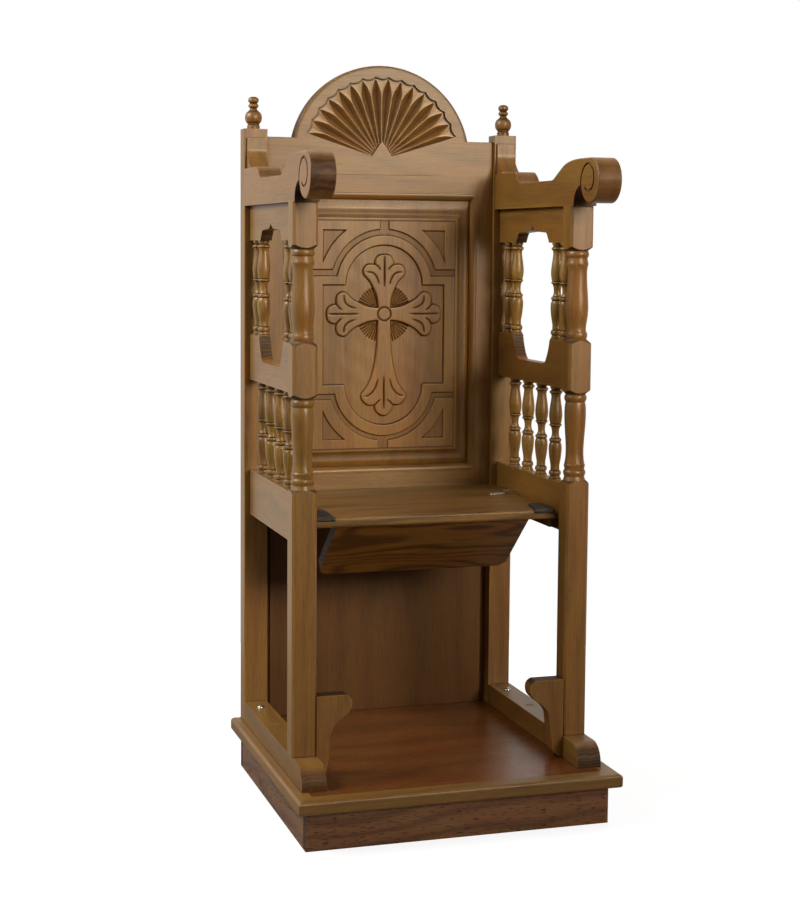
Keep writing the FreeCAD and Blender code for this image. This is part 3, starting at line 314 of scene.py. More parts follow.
def grain_group():
    """Ring shade = (sin(2 pi bent / ring width) / 2 + 1/2)^2.6, which makes the dark late wood
    narrow; streaks, clouds and fine fibres are added to it, and pores lie over all."""
    tree = bpy.data.node_groups.new("wood_grain", "ShaderNodeTree")
    given = inputs_of(tree, Vector=(0.0, 0.0, 0.0), Light=(0.4, 0.2, 0.05, 1.0),
                      Dark=(0.2, 0.1, 0.02, 1.0), Pore=(0.08, 0.04, 0.01, 1.0),
                      Ring_Width=0.03, Ring_Contrast=0.5, Pore_Amount=0.5,
                      Pore_Size=(1.0, 1.0, 1.0), Gloss=0.35)
    vector = given["Vector"]
    drift = streaks(tree, vector, DRIFT, 2.0)
    parts = add(tree, "ShaderNodeSeparateXYZ", {0: vector}).outputs
    across = sum_of(tree, "MULTIPLY_ADD", parts["Y"], RING_TILT, parts["X"])
    bent = sum_of(tree, "MULTIPLY_ADD", drift, RING_BEND, across)
    turns = sum_of(tree, "DIVIDE", bent, given["Ring Width"])
    rings = sum_of(tree, "SINE", sum_of(tree, "MULTIPLY", turns, 2.0 * math.pi))
    late = sum_of(tree, "POWER", sum_of(tree, "MULTIPLY_ADD", rings, 0.5, 0.5), 2.6)
    streak = streaks(tree, vector, STREAK, 5.0, 0.68)
    fine = streaks(tree, vector, FINE, 2.0, 0.6)
    cloud = streaks(tree, vector, CLOUD, 3.0, 0.5, 0.4)
    shade = sum_of(tree, "MULTIPLY", late, given["Ring Contrast"])
    shade = sum_of(tree, "ADD", shade, sum_of(tree, "MULTIPLY_ADD", streak, 2.0, -1.0))
    shade = sum_of(tree, "ADD", shade, sum_of(tree, "MULTIPLY_ADD", cloud, 0.9, -0.32))
    shade = sum_of(tree, "MULTIPLY_ADD", fine, 0.25, shade, clamp=True)
    finer = vector_of(tree, "DIVIDE", vector, given["Pore Size"])
    dash = streaks(tree, finer, DASH, 1.0, 0.4)
    pore = sum_of(tree, "MULTIPLY", ease(tree, dash, PORE_START, PORE_FULL),
                  given["Pore Amount"])
    colour = blend_colour(tree, shade, given["Light"], given["Dark"])
    patch = streaks(tree, vector, PATCH, 3.0, 0.6, 0.6)
    hue = blend_colour(tree, ease(tree, patch, 0.35, 0.65), YELLOWER, REDDER)
    colour = blend_colour(tree, 1.0, colour, hue, "MULTIPLY")
    colour = blend_colour(tree, pore, colour, given["Pore"])
    rough = sum_of(tree, "MULTIPLY_ADD", fine, 0.12, given["Gloss"])
    rough = sum_of(tree, "MULTIPLY_ADD", pore, 0.2, rough)
    relief = sum_of(tree, "MULTIPLY_ADD", fine, 0.4, sum_of(tree, "MULTIPLY", streak, 0.5))
    relief = sum_of(tree, "SUBTRACT", relief, pore)
    outputs_of(tree, Colour=colour, Roughness=rough, Height=relief)
    return tree


grain = grain_group()
print("grain group nodes:", len(grain.nodes))

# %% [markdown]
# ## Darkened hollows, paler arrises and end grain
#
# Three more effects are shared by the finishes.  Every hollow is darkened, by stain that
# gathers there and by painted shade, and every arris is made paler, where stain is rubbed off
# and as a
# painted highlight: pieces that are carved or turned here know where their hollows and arrises
# are, and store it as two masks on the surface.  A plain board has no such mask, but its
# arrises are simply the places near two faces of its box at once, which the board group works
# out, and its hollows are the corners that little light reaches, darkened as painted shade.
# Cut across the grain, wood drinks more stain, so faces that look along the grain go dark.

# %% Groups for stain and painted shade, board arrises and end grain
RAGGED = (60.0, 60.0, 60.0)          # waves per metre in the ragged line of wear and painted highlight
LEAST_WEAR_AND_HIGHLIGHT = 0.0003                  # its least width, in metres
END_WAVES, END_PALE = 45.0, 0.30     # waves per metre of end grain, and its paler rings


def board_group():
    """Mask of a box's arrises: of the three distances to its face pairs, the middle one is
    small only near an edge, where two of them are small.  Noise makes its width ragged."""
    tree = bpy.data.node_groups.new("board_arris", "ShaderNodeTree")
    given = inputs_of(tree, Vector=(0.0, 0.0, 0.0), Middle=(0.0, 0.0, 0.0),
                      Half=(0.1, 0.1, 0.1), Width=0.004)
    offset = vector_of(tree, "ABSOLUTE", vector_of(tree, "SUBTRACT", given["Vector"],
                                                   given["Middle"]))
    room = add(tree, "ShaderNodeSeparateXYZ",
               {0: vector_of(tree, "SUBTRACT", given["Half"], offset)}).outputs
    low = sum_of(tree, "MINIMUM", room["X"], room["Y"])
    high = sum_of(tree, "MAXIMUM", room["X"], room["Y"])
    middle = sum_of(tree, "MAXIMUM", low, sum_of(tree, "MINIMUM", high, room["Z"]))
    ragged = streaks(tree, given["Vector"], RAGGED, 3.0, 0.6)
    reach = sum_of(tree, "MULTIPLY", given["Width"],
                   sum_of(tree, "MULTIPLY_ADD", ragged, 2.4, -0.2))
    share = sum_of(tree, "DIVIDE", middle, sum_of(tree, "MAXIMUM", reach, LEAST_WEAR_AND_HIGHLIGHT))
    outputs_of(tree, Arris=ease(tree, share, 0.2, 1.0, 1.0, 0.0))
    return tree


def stain_shade_wear_highlight_group():
    """Colour x darkening in the hollows, as stain and painted shade, x paling on the arrises,
    as wear and a painted highlight, each as far as its mask says.
    """
    tree = bpy.data.node_groups.new("stain_shade_wear_and_highlight", "ShaderNodeTree")
    # The darkening colour stands for stain and painted shade, the paling factor for wear and a
    # painted highlight.
    given = inputs_of(tree, Colour=(0.3, 0.15, 0.04, 1.0), Hollow=0.0, Arris=0.0,
                      Stain=(0.24, 0.16, 0.10, 1.0), Worn=(1.45, 1.50, 1.55, 1.0))
    dark = blend_colour(tree, given["Hollow"], WHITE, given["Stain"])
    pale = blend_colour(tree, given["Arris"], WHITE, given["Worn"])
    colour = blend_colour(tree, 1.0, given["Colour"], dark, "MULTIPLY")
    outputs_of(tree, Colour=blend_colour(tree, 1.0, colour, pale, "MULTIPLY"),
               Hollow=ease(tree, given["Hollow"], 0.0, 1.0))
    return tree


def end_group():
    """Colour of a face cut across the grain: darker, with close round rings."""
    tree = bpy.data.node_groups.new("end_grain", "ShaderNodeTree")
    given = inputs_of(tree, Vector=(0.0, 0.0, 0.0), Colour=(0.3, 0.15, 0.04, 1.0),
                      Facing=0.0, Strength=1.0, Darker=(0.20, 0.14, 0.11, 1.0))
    ring = add(tree, "ShaderNodeTexWave", {"Vector": given["Vector"], "Scale": END_WAVES,
                                           "Distortion": 5.0, "Detail": 3.0},
               wave_type="RINGS").outputs["Fac"]
    pale = sum_of(tree, "MULTIPLY", ring, END_PALE)
    shade = blend_colour(tree, pale, given["Darker"], WHITE)
    amount = ease(tree, given["Facing"], 0.35, 0.85)
    cut = blend_colour(tree, amount, WHITE, shade)
    cut = blend_colour(tree, 1.0, given["Colour"], cut, "MULTIPLY")
    outputs_of(tree, Colour=blend_colour(tree, given["Strength"], given["Colour"], cut),
               Amount=amount)
    return tree


board_arris, stain_shade_wear_highlight, end_grain = board_group(), stain_shade_wear_highlight_group(), end_group()
print("shared effects:", len(bpy.data.node_groups))

# %% [markdown]
# ## Finishes
#
# One stain and one lacquer cover the frame, but no two boards take them alike, so every
# piece gets a material of its own: its grain turned along its length, moved to a fresh part
# of the log, and made a shade lighter or darker.  The lacquer is a thin clear coat over a
# satin ground.  Plain boards come from the joiner with knife-sharp arrises; rounding them in
# the mesh would cost many faces, so a Bevel node rounds them in the light only, and the
# corners between boards, where little light reaches, are darkened as painted shade and as
# stain that a cloth can't reach.

# %% Stains
# Light, dark and pore colour; width of the rings in metres and their contrast; amount and
# size of the pores; gloss is a roughness, the smaller the shinier; weight of the clear coat
STAINS = {
    "frame_wood": dict(light=(0.285, 0.131, 0.023), dark=(0.150, 0.064, 0.010),
                       pore=(0.05, 0.022, 0.005), ring=0.045, contrast=0.32, pores=0.30,
                       pore_size=(1.3, 1.3, 0.8), gloss=0.38, coat=0.40),
    "turned_wood": dict(light=(0.315, 0.165, 0.033), dark=(0.150, 0.070, 0.011),
                        pore=(0.05, 0.022, 0.005), ring=0.018, contrast=0.45, pores=0.30,
                        pore_size=(1.2, 1.2, 0.8), gloss=0.36, coat=0.42),
    "carved_wood": dict(light=(0.325, 0.153, 0.030), dark=(0.190, 0.081, 0.013),
                        pore=(0.07, 0.031, 0.008), ring=0.07, contrast=0.34, pores=0.28,
                        pore_size=(1.3, 1.3, 0.8), gloss=0.38, coat=0.40),
    "seat_wood": dict(light=(0.255, 0.119, 0.019), dark=(0.115, 0.049, 0.007),
                      pore=(0.05, 0.021, 0.005), ring=0.03, contrast=0.60, pores=0.5,
                      pore_size=(1.3, 1.3, 0.8), gloss=0.42, coat=0.20),
    "perch_wood": dict(light=(0.240, 0.102, 0.016), dark=(0.070, 0.026, 0.003),
                       pore=(0.03, 0.012, 0.003), ring=0.012, contrast=0.80, pores=0.6,
                       pore_size=(2.0, 2.0, 1.6), gloss=0.38, coat=0.30),
    "lower_panel_wood": dict(light=(0.175, 0.070, 0.010), dark=(0.105, 0.039, 0.005),
                             pore=(0.04, 0.016, 0.003), ring=0.09, contrast=0.4, pores=0.35,
                             gloss=0.50, coat=0.0),
    "platform_veneer": dict(light=(0.165, 0.050, 0.009), dark=(0.098, 0.027, 0.004),
                            pore=(0.04, 0.013, 0.003), ring=0.06, contrast=0.5, pores=0.4,
                            gloss=0.22, coat=0.35),
    "lipping_wood": dict(light=(0.29, 0.143, 0.028), dark=(0.165, 0.072, 0.012),
                         pore=(0.07, 0.028, 0.007), ring=0.05, contrast=0.5, pores=0.35,
                         gloss=0.36, coat=0.30),
    "plinth_wood": dict(light=(0.27, 0.112, 0.044), dark=(0.135, 0.050, 0.018),
                        pore=(0.03, 0.011, 0.005), ring=0.03, contrast=0.6, pores=1.0,
                        pore_size=(2.2, 2.2, 0.55), gloss=0.42, coat=0.35),
}
print("stains:", ", ".join(STAINS))

# %% Wood finish for one piece
TURN = {"X": (0.0, math.pi / 2, 0.0), "Y": (math.pi / 2, 0.0, 0.0), "Z": (0.0, 0.0, 0.0)}
# The right arm's scroll gets weaker end grain than the left's: its paler end stands for a
# painted highlight.
END_STRENGTH = {"wood_arm_right": 0.55, "wood_ogee_bracket_left": 0.35,
                "wood_ogee_bracket_right": 0.35, "wood_runner_left": 0.75,
                "wood_runner_plugs": 0.08}     # how dark the end grain is, 1 for the others
TONE_SPREAD, LOG_REACH = 0.10, 3.0   # shades between boards, metres between cuts of the log
CREVICE = 0.006                      # how far the darkening, stain and painted shade, reaches out of a corner
CREVICE_LIGHT = (0.30, 0.80)         # a corner is fully darkened, as stain and painted shade, below the first share of light, and clean above the second
EASED_EDGE, BOARD_WEAR_AND_HIGHLIGHT = 0.0014, 0.5           # rounding of plain arrises, and how much paler they are made as wear and painted highlight
BARE_ROUGHER, BARE_DULLER = 0.22, 0.8          # what hollows and end grain do to the lacquer
COAT_ROUGH = 0.30
RELIEF = {"Strength": 0.3, "Distance": 0.0004}           # of the grain, height in metres
luck = np.random.default_rng(14)


def toned(colour, tone):
    """A colour made lighter or darker, with a full alpha."""
    return (*(part * tone for part in colour), 1.0)


def lay_grain(tree, place, look, along, tone):
    """Grain turned along the piece, moved to a fresh part of the log and shaded by tone."""
    fresh = tuple(luck.uniform(-LOG_REACH, LOG_REACH, 3))
    turned = add(tree, "ShaderNodeMapping", {"Vector": place, "Rotation": TURN[along],
                                             "Location": fresh}).outputs[0]
    values = {"Vector": turned, "Light": toned(look["light"], tone),
              "Dark": toned(look["dark"], tone), "Pore": toned(look["pore"], tone),
              "Ring Width": look["ring"], "Ring Contrast": look["contrast"],
              "Pore Amount": look["pores"], "Gloss": look["gloss"],
              "Pore Size": look.get("pore_size", (1.0, 1.0, 1.0))}
    return turned, add(tree, "ShaderNodeGroup", values, node_tree=grain).outputs


def stored_masks(tree):
    """Hollow and arris as the carved or turned surface stores them."""
    return {mask: add(tree, "ShaderNodeAttribute", attribute_name=mask.lower()).outputs["Fac"]
            for mask in ("Hollow", "Arris")}


def board_masks(tree, place, box):
    """Hollow and arris of a plain board: corners in shade, which are darkened as painted shade
    and as stain, and the edges of its box, made paler as wear and a painted highlight.
    """
    low, high = box
    shade = add(tree, "ShaderNodeAmbientOcclusion", {"Distance": CREVICE}, samples=6)
    edges = add(tree, "ShaderNodeGroup",
                {"Vector": place, "Middle": tuple((low + high) / 2),
                 "Half": tuple((high - low) / 2)}, node_tree=board_arris)
    return {"Hollow": ease(tree, shade.outputs["AO"], *CREVICE_LIGHT, 1.0, 0.0),
            "Arris": sum_of(tree, "MULTIPLY", edges.outputs["Arris"], BOARD_WEAR_AND_HIGHLIGHT)}


def wood(name, stain, along, box=None, spread=TONE_SPREAD):
    """Lacquered wood with its grain along X, Y or Z.  A plain board gives its box; a piece
    without one has stored its own hollows and arrises."""
    look = STAINS[stain]
    tone = 1.0 + spread * luck.uniform(-1.0, 1.0)
    material, tree, shader = new_material(name, look["light"], look["gloss"])
    where = add(tree, "ShaderNodeTexCoord").outputs
    turned, board = lay_grain(tree, where["Object"], look, along, tone)
    facing = add(tree, "ShaderNodeSeparateXYZ", {0: where["Normal"]}).outputs[along]
    ends = add(tree, "ShaderNodeGroup",
               {"Vector": turned, "Colour": board["Colour"],
                "Facing": sum_of(tree, "ABSOLUTE", facing),
                "Strength": END_STRENGTH.get(name, 1.0)}, node_tree=end_grain).outputs
    # Hollows are darkened as stain and painted shade, arrises made paler as wear and a painted
    # highlight.
    masks = board_masks(tree, where["Object"], box) if box else stored_masks(tree)
    worn_and_highlit = add(tree, "ShaderNodeGroup", {"Colour": ends["Colour"], **masks},
               node_tree=stain_shade_wear_highlight).outputs
    tree.links.new(worn_and_highlit["Colour"], shader.inputs["Base Color"])
    bare = sum_of(tree, "MAXIMUM", ends["Amount"], worn_and_highlit["Hollow"])
    rough = sum_of(tree, "MULTIPLY_ADD", bare, BARE_ROUGHER, board["Roughness"])
    tree.links.new(rough, shader.inputs["Roughness"])
    relief = add(tree, "ShaderNodeBump", {**RELIEF, "Height": board["Height"]})
    if box:
        eased = add(tree, "ShaderNodeBevel", {"Radius": EASED_EDGE}, samples=6)
        tree.links.new(eased.outputs["Normal"], relief.inputs["Normal"])
    tree.links.new(relief.outputs["Normal"], shader.inputs["Normal"])
    coat = sum_of(tree, "MULTIPLY_ADD", bare, -BARE_DULLER * look["coat"], look["coat"])
    tree.links.new(coat, shader.inputs["Coat Weight"])
    shader.inputs["Coat Roughness"].default_value = COAT_ROUGH
    return material


print("wood finish ready, tone spread", TONE_SPREAD)

# %% [markdown]
# ## Steel and rubber
#
# The screws and the cranked hinge rods are plain steel, a little dull: fine scuffs change its
# gloss and its grey.  The corner pads are black rubber, creased and pebbled; the pebbles are
# far smaller than a face of the mesh, so they are only a bump.

# %% Steel and rubber
STEEL, STEEL_PALE, STEEL_DULL = ((0.62, 0.61, 0.58), (0.70, 0.69, 0.66, 1.0),
                                 (0.50, 0.48, 0.44, 1.0))
RUBBER, RUBBER_DARK, RUBBER_DUSTY = ((0.022, 0.020, 0.019), (0.016, 0.015, 0.014, 1.0),
                                     (0.040, 0.037, 0.034, 1.0))
SCUFFS, PEBBLES, CREASES = (900.0,) * 3, (650.0,) * 3, (90.0,) * 3    # waves per metre
CREASE_SHARE = 1.6                   # height of the creases, in heights of a pebble
PEBBLED = {"Strength": 0.7, "Distance": 0.0012}      # relief of the rubber, height in metres


def steel(name):
    """Roughness = 0.15 + 0.3 x scuffs."""
    material, tree, shader = new_material(name, STEEL, 0.3)
    shader.inputs["Metallic"].default_value = 1.0
    place = add(tree, "ShaderNodeTexCoord").outputs["Object"]
    scuff = streaks(tree, place, SCUFFS, 3.0, 0.6)
    tree.links.new(sum_of(tree, "MULTIPLY_ADD", scuff, 0.3, 0.15), shader.inputs["Roughness"])
    dull = blend_colour(tree, scuff, STEEL_PALE, STEEL_DULL)
    tree.links.new(dull, shader.inputs["Base Color"])
    return material


def rubber(name):
    """Height = pebbles + 1.6 x creases, roughness = 0.32 + 0.3 x pebbles."""
    material, tree, shader = new_material(name, RUBBER, 0.5)
    place = add(tree, "ShaderNodeTexCoord").outputs["Object"]
    pebble = streaks(tree, place, PEBBLES, 2.0, 0.5)
    crease = streaks(tree, place, CREASES, 3.0, 0.6)
    height = sum_of(tree, "MULTIPLY_ADD", crease, CREASE_SHARE, pebble)
    relief = add(tree, "ShaderNodeBump", {**PEBBLED, "Height": height})
    tree.links.new(relief.outputs["Normal"], shader.inputs["Normal"])
    rough = sum_of(tree, "MULTIPLY_ADD", pebble, 0.3, 0.32)
    tree.links.new(rough, shader.inputs["Roughness"])
    grey = blend_colour(tree, crease, RUBBER_DARK, RUBBER_DUSTY)
    tree.links.new(grey, shader.inputs["Base Color"])
    return material


print("steel and rubber ready")

# %% [markdown]
# ## From numbers to a carved surface
#
# A new piece starts as a grid of points, joined into four-sided faces.  A helper closes the
# grid, turns every face outwards by the sign of the enclosed volume, and stores the two
# masks that the finish reads: hollow, darkened by gathered stain and painted shade, and
# arris, paler where stain wears off and as a painted highlight.

# %% Surface helpers
SLOT_OF = {part["node"]: part["material_slot"] for part in frame["record"]["subparts"]}


def smooth(x):
    """Smooth step: 3x^2 - 2x^3 between 0 and 1."""
    x = np.clip(x, 0.0, 1.0)
    return x * x * (3.0 - 2.0 * x)


def grid_faces(index, around=False):
    """Four-sided faces between neighbouring rows and columns of vertex numbers."""
    if around:
        index = np.concatenate([index, index[:, :1]], axis=1)
    faces = np.stack([index[:-1, :-1], index[:-1, 1:], index[1:, 1:], index[1:, :-1]], -1)
    return faces.reshape(-1, 4)


def fan_faces(ring, centre):
    """Triangles from a closed ring of vertex numbers to one centre vertex."""
    return np.stack([ring, np.roll(ring, -1), np.full(len(ring), centre)], -1)


def closed_faces(index):
    """Faces of a surface that runs round an axis, with a centre point for each end: they are
    the last two points, the first end's before the last end's."""
    count = index.size
    return [grid_faces(index, around=True), fan_faces(index[0], count)[:, ::-1],
            fan_faces(index[-1], count + 1)]


def enclosed(points, faces):
    """Six times the signed volume: the triple product of each triangle's corners, added."""
    a, b, c = points[faces[:, 0]], points[faces[:, 1]], points[faces[:, 2]]
    total = np.einsum("ij,ij->", a, np.cross(b, c))
    if faces.shape[1] == 4:
        total += np.einsum("ij,ij->", a, np.cross(c, points[faces[:, 3]]))
    return total


def make_piece(name, points, face_sets, node, hollow=None, arris=None, crease=38.0,
               body="frame"):
    """Closed piece in millimetres that stands for a node of the frame.  Edges that turn by
    more than crease degrees stay sharp."""
    points = np.asarray(points, float).reshape(-1, 3)
    if sum(enclosed(points, faces) for faces in face_sets) < 0.0:
        face_sets = [faces[:, ::-1] for faces in face_sets]
    mesh = bpy.data.meshes.new(name)
    mesh.from_pydata((points * MM).tolist(), [], sum((f.tolist() for f in face_sets), []))
    mesh.shade_smooth()
    mesh.set_sharp_from_angle(angle=math.radians(crease))
    for label, mask in (("hollow", hollow), ("arris", arris)):
        values = np.zeros(len(points), np.float32)
        if mask is not None:
            values[:np.size(mask)] = np.ravel(mask)
        mesh.attributes.new(label, "FLOAT", "POINT").data.foreach_set("value", values)
    piece = show(bpy.data.objects.new(name, mesh))
    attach(piece, body)
    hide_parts(node)
    return piece


print("surface helpers ready")

# %% [markdown]
# ## The carved cross, as distances
#
# A carver first draws outlines, then sinks the ground around them.  The same is done here
# with distances: for every point of the panel a function says how far it is from an
# outline, negative inside, and the ground sinks where the distance is negative.  Shapes
# join by taking the smaller distance and overlap by taking the larger.  The cross has three
# short arms and a long one; half of each outline is drawn, as pairs of a distance along the
# arm and one across it, and the other half is its mirror image.  Modelling the cross by hand
# would leave its walls uneven; a distance gives every wall the same slope.

# %% Outlines of the cross arms
SHORT_ARM = (((0, 14.5), (20, 14.5), (34, 16.5), (44, 19), (52.8, 22.8), (61.3, 26.8),
              (72.3, 33), (80, 39.5), (86, 45.5), (90.7, 48.8), (97, 50), (104, 48),
              (110, 43), (112.6, 36), (112.6, 28), (110.8, 20.5)),
             ((110.8, 20.5), (117.7, 22), (125, 19.5), (131, 15), (134, 8), (134.8, 0)))
LONG_ARM = (((0, 14.5), (20, 15), (60, 16), (82, 17.5), (105, 20.3), (123.5, 24),
             (135, 26.8), (146.5, 30.3), (158, 35), (168.3, 41.5), (178.6, 50), (184.3, 53),
             (193, 51.8), (202, 45), (206.8, 37), (207.3, 29.5), (206, 21.5)),
            ((206, 21.5), (216.5, 20), (226, 13), (231, 5), (231.5, 0)))
SHORT_VEINS = (((60, 0), (132, 0)),
               ((94.5, 43), (94.5, 35), (92.5, 27), (87, 20.5), (82.5, 18), (76, 15),
                (66, 12.5)),
               ((110.8, 20.5), (109, 17.5), (105.5, 13.5), (99, 9)))
LONG_VEINS = (((141, 0), (219, 0)),
              ((147, 13.5), (156, 16), (165, 19), (175, 25), (182, 32), (186, 40),
               (186.5, 47)),
              ((206, 21.5), (204, 18), (200, 14.3), (194.5, 8.5)))
FAR, TINY = 1e9, 1e-9                # farther than anything on the bench, and next to nothing


def flowing(points, steps=6):
    """Catmull-Rom curve: between two points it is the cubic that leaves each one towards
    the difference of its neighbours."""
    p = np.asarray(points, float)
    p = np.concatenate([2 * p[:1] - p[1:2], p, 2 * p[-1:] - p[-2:-1]])
    t = np.linspace(0.0, 1.0, steps, endpoint=False)[None, :, None]
    a, b, c, d = (p[k:len(p) - 3 + k, None, :] for k in range(4))
    curve = 0.5 * (2 * b + (c - a) * t + (2 * a - 5 * b + 4 * c - d) * t ** 2
                   + (3 * b - a - 3 * c + d) * t ** 3)
    return np.concatenate([curve.reshape(-1, p.shape[1]), p[-2:-1]])


def to_line(x, y, line):
    """Distance to a polyline: the least, over its segments, of the distance to the nearest
    point of each.  Also tells how far along the line (0 to 1) that nearest point is."""
    best, where = np.full(x.shape, FAR), np.zeros(x.shape)
    for k, ((x0, y0), (x1, y1)) in enumerate(zip(line[:-1], line[1:])):
        length = max((x1 - x0) ** 2 + (y1 - y0) ** 2, TINY)
        t = np.clip(((x - x0) * (x1 - x0) + (y - y0) * (y1 - y0)) / length, 0.0, 1.0)
        away = np.hypot(x - x0 - t * (x1 - x0), y - y0 - t * (y1 - y0))
        nearer = away < best
        best = np.where(nearer, away, best)
        where = np.where(nearer, (k + t) / (len(line) - 1), where)
    return best, where


def arm_distance(along, across, outline):
    """Signed distance to an arm: negative where a line towards +across crosses the half
    outline an odd number of times."""
    line = np.concatenate([flowing(run) for run in outline])
    away, _ = to_line(along, across, line)
    odd = np.zeros(along.shape, bool)
    for (x0, y0), (x1, y1) in zip(line[:-1], line[1:]):
        if x0 != x1:
            spans = (x0 > along) != (x1 > along)
            odd ^= spans & (across < y0 + (along - x0) * (y1 - y0) / (x1 - x0))
    return np.where(odd, -away, away)


def vein_cut(along, across, veins, depth=2.2, half=2.4):
    """V grooves that fade at both ends: depth x (1 - distance / half) x (1.08 - (2s - 1)^4),
    s going from 0 to 1 along each groove and the last factor at most 1."""
    cut = np.zeros(along.shape)
    for vein in veins:
        away, s = to_line(along, across, flowing(vein))
        taper = np.clip(1.08 - (2.0 * s - 1.0) ** 4, 0.0, 1.0)
        cut = np.maximum(cut, depth * taper * np.clip(1.0 - away / half, 0.0, 1.0))
    return cut


BOSS_RING = 15.3                     # the cut that frees the small boss at the crossing
RING_DEEP, RING_HALF = 2.2, 2.3


def cross_distance(u, v):
    """Signed distance to the whole cross, u to the right and v up from its middle, and the
    depth of the veins and of the ring that are engraved in it."""
    side, up = np.abs(u), np.abs(v)
    arms = ((side, up, SHORT_ARM, SHORT_VEINS), (v, side, SHORT_ARM, SHORT_VEINS),
            (-v, side, LONG_ARM, LONG_VEINS))
    distance, veins = np.full(u.shape, FAR), np.zeros(u.shape)
    for along, across, outline, lines in arms:
        distance = np.minimum(distance, arm_distance(along, across, outline))
        veins = np.maximum(veins, vein_cut(along, across, lines))
    ring = np.abs(np.hypot(u, v) - BOSS_RING)
    veins = np.maximum(veins, RING_DEEP * np.clip(1.0 - ring / RING_HALF, 0.0, 1.0))
    return distance, veins


print("arm outlines:", len(SHORT_ARM[0]) + len(SHORT_ARM[1]), "points for a short arm")

# %% [markdown]
# ## Ground, channels and the ribbed quarters
#
# Round the cross the ground is sunk five and a half millimetres, in the shape of a tall box
# with a disc at each end.  A raised band follows it, and outside the band runs a shallower
# channel that turns out to the edges.  Three-cornered hollows fill the corners, and a ribbed
# rosette peeps out in the four quarters of the cross.  Upper and lower end are built alike
# from different measures, so one function serves both.  The ribs, the veins, the foot of the
# cross's walls and, thinly, the sunk floors are darkened, as stain left there and as painted
# shade.

# %% Distances to ground, channels and corners
GROUND, CHANNEL, WALL = 5.5, 4.0, 1.6          # depths, and width of a carved wall
BOX_HALF, STEM_HALF = 143.5, 11.0
# Away from the middle of the cross: centre of the rings, centre and radius of the ground's
# disc, inner and outer radius of the channel, near and far side of its strips, and inner
# radius and far side of the corner hollows
UPPER_END = dict(way=1.0, centre=66.0, disc_at=65.0, disc=91.0, ring=(112.0, 125.5),
                 strip=(85.5, 100.5), corner=(152.0, 188.7))
LOWER_END = dict(way=-1.0, centre=160.0, disc_at=160.0, disc=92.5, ring=(117.0, 128.0),
                 strip=(180.5, 193.3), corner=(154.5, 284.5))


def sunk(distance, depth):
    """Depth inside an outline, reached over the width of its wall."""
    return depth * smooth(0.5 - distance / WALL)


def end_distances(u, v, end):
    """Ground, channel and corner hollow of one end, with the height measured towards it.
    The channel is half a ring, two strips to the sides and a stem to the edge, all of them
    outside the inner circle; the corner hollow is what a larger circle leaves."""
    side, height = np.abs(u), end["way"] * v
    away = np.hypot(u, height - end["centre"])
    inner, outer = end["ring"]
    near, far = end["strip"]
    circle, edge = end["corner"]
    clear, beyond = inner - away, end["centre"] - height
    disc = np.hypot(u, height - end["disc_at"]) - end["disc"]
    channel = np.minimum.reduce([np.maximum.reduce([away - outer, clear, near - height]),
                                 np.maximum.reduce([near - height, height - far, clear]),
                                 np.maximum.reduce([side - STEM_HALF, clear, beyond])])
    corner = np.maximum.reduce([side - BOX_HALF, height - edge, circle - away, beyond])
    return disc, channel, corner


def carving_distances(u, v):
    """Signed distances to the ground (a box with two discs), the channels and the corners."""
    disc, channel, corner = (np.minimum(upper, lower) for upper, lower in zip(
        end_distances(u, v, UPPER_END), end_distances(u, v, LOWER_END)))
    box = np.maximum.reduce([np.abs(u) - BOX_HALF, v - UPPER_END["centre"],
                             -LOWER_END["centre"] - v])
    return np.minimum(box, disc), channel, corner


print("ground", GROUND, "mm deep, channels", CHANNEL, "mm")

# %% Ribs, ripple and the depth at every point
ROSETTE, RIBS = 66.0, 9              # radius of the rosette, ribs in a quarter
RIB_CORNER, RIB_FROM, RIB_SPAN = 11.0, 8.0, 74.0     # where ribs meet, and their degrees
SCALLOP_DEEP, ROSETTE_WALL = 2.6, 1.2
RIPPLES, RIPPLE_HEIGHT = 9, 0.13
EASED_DEEP, EASED_WIDE = 0.9, 4.0    # rounding of the cross's own arris
# Darkening of the sunk ground, of the channels and of the foot of the cross's walls, as stain
# and painted shade, and the width of that foot
GROUND_STAIN_AND_SHADE, CHANNEL_STAIN_AND_SHADE, FOOT_STAIN_AND_SHADE, FOOT_WIDE = 0.10, 0.30, 0.75, 5.0


def rosette(u, v):
    """Ribs that spread from the inner corner of each quarter, with round outer ends.  With f
    going from 0 on a rib to 1 in the flute beside it: depth 0.3 + 3.2 f^1.4, hollow
    0.2 + 0.8 f^1.5 and arris 1 - 2.2 f."""
    angle = np.degrees(np.arctan2(np.abs(v) - RIB_CORNER, np.abs(u) - RIB_CORNER))
    turn = (angle - RIB_FROM) / RIB_SPAN * RIBS
    flute = 1.0 - np.abs(2.0 * (turn - np.floor(turn)) - 1.0)
    reach = np.hypot(u, v) - (ROSETTE - SCALLOP_DEEP * (1.0 - flute) ** 1.5)
    inside = smooth(0.5 - reach / ROSETTE_WALL)
    # The flutes are darkened as stain and painted shade, and the ribs made paler as wear and a
    # painted highlight.
    depth = inside * (0.3 + 3.2 * flute ** 1.4)
    hollow = inside * (0.2 + 0.8 * flute ** 1.5)
    arris = inside * np.clip(1.0 - 2.2 * flute, 0.0, 1.0)
    return depth, hollow, arris


def hand_ripple(u, v):
    """Faint waves left by the gouge: a sum of seeded slow sines."""
    dice = np.random.default_rng(7)
    waves = np.zeros(u.shape)
    for _ in range(RIPPLES):
        a, b, c = dice.uniform(-0.35, 0.35), dice.uniform(-0.12, 0.12), dice.uniform(0, 6.28)
        waves += np.sin(a * u + b * v + c)
    return RIPPLE_HEIGHT * waves / 3.0


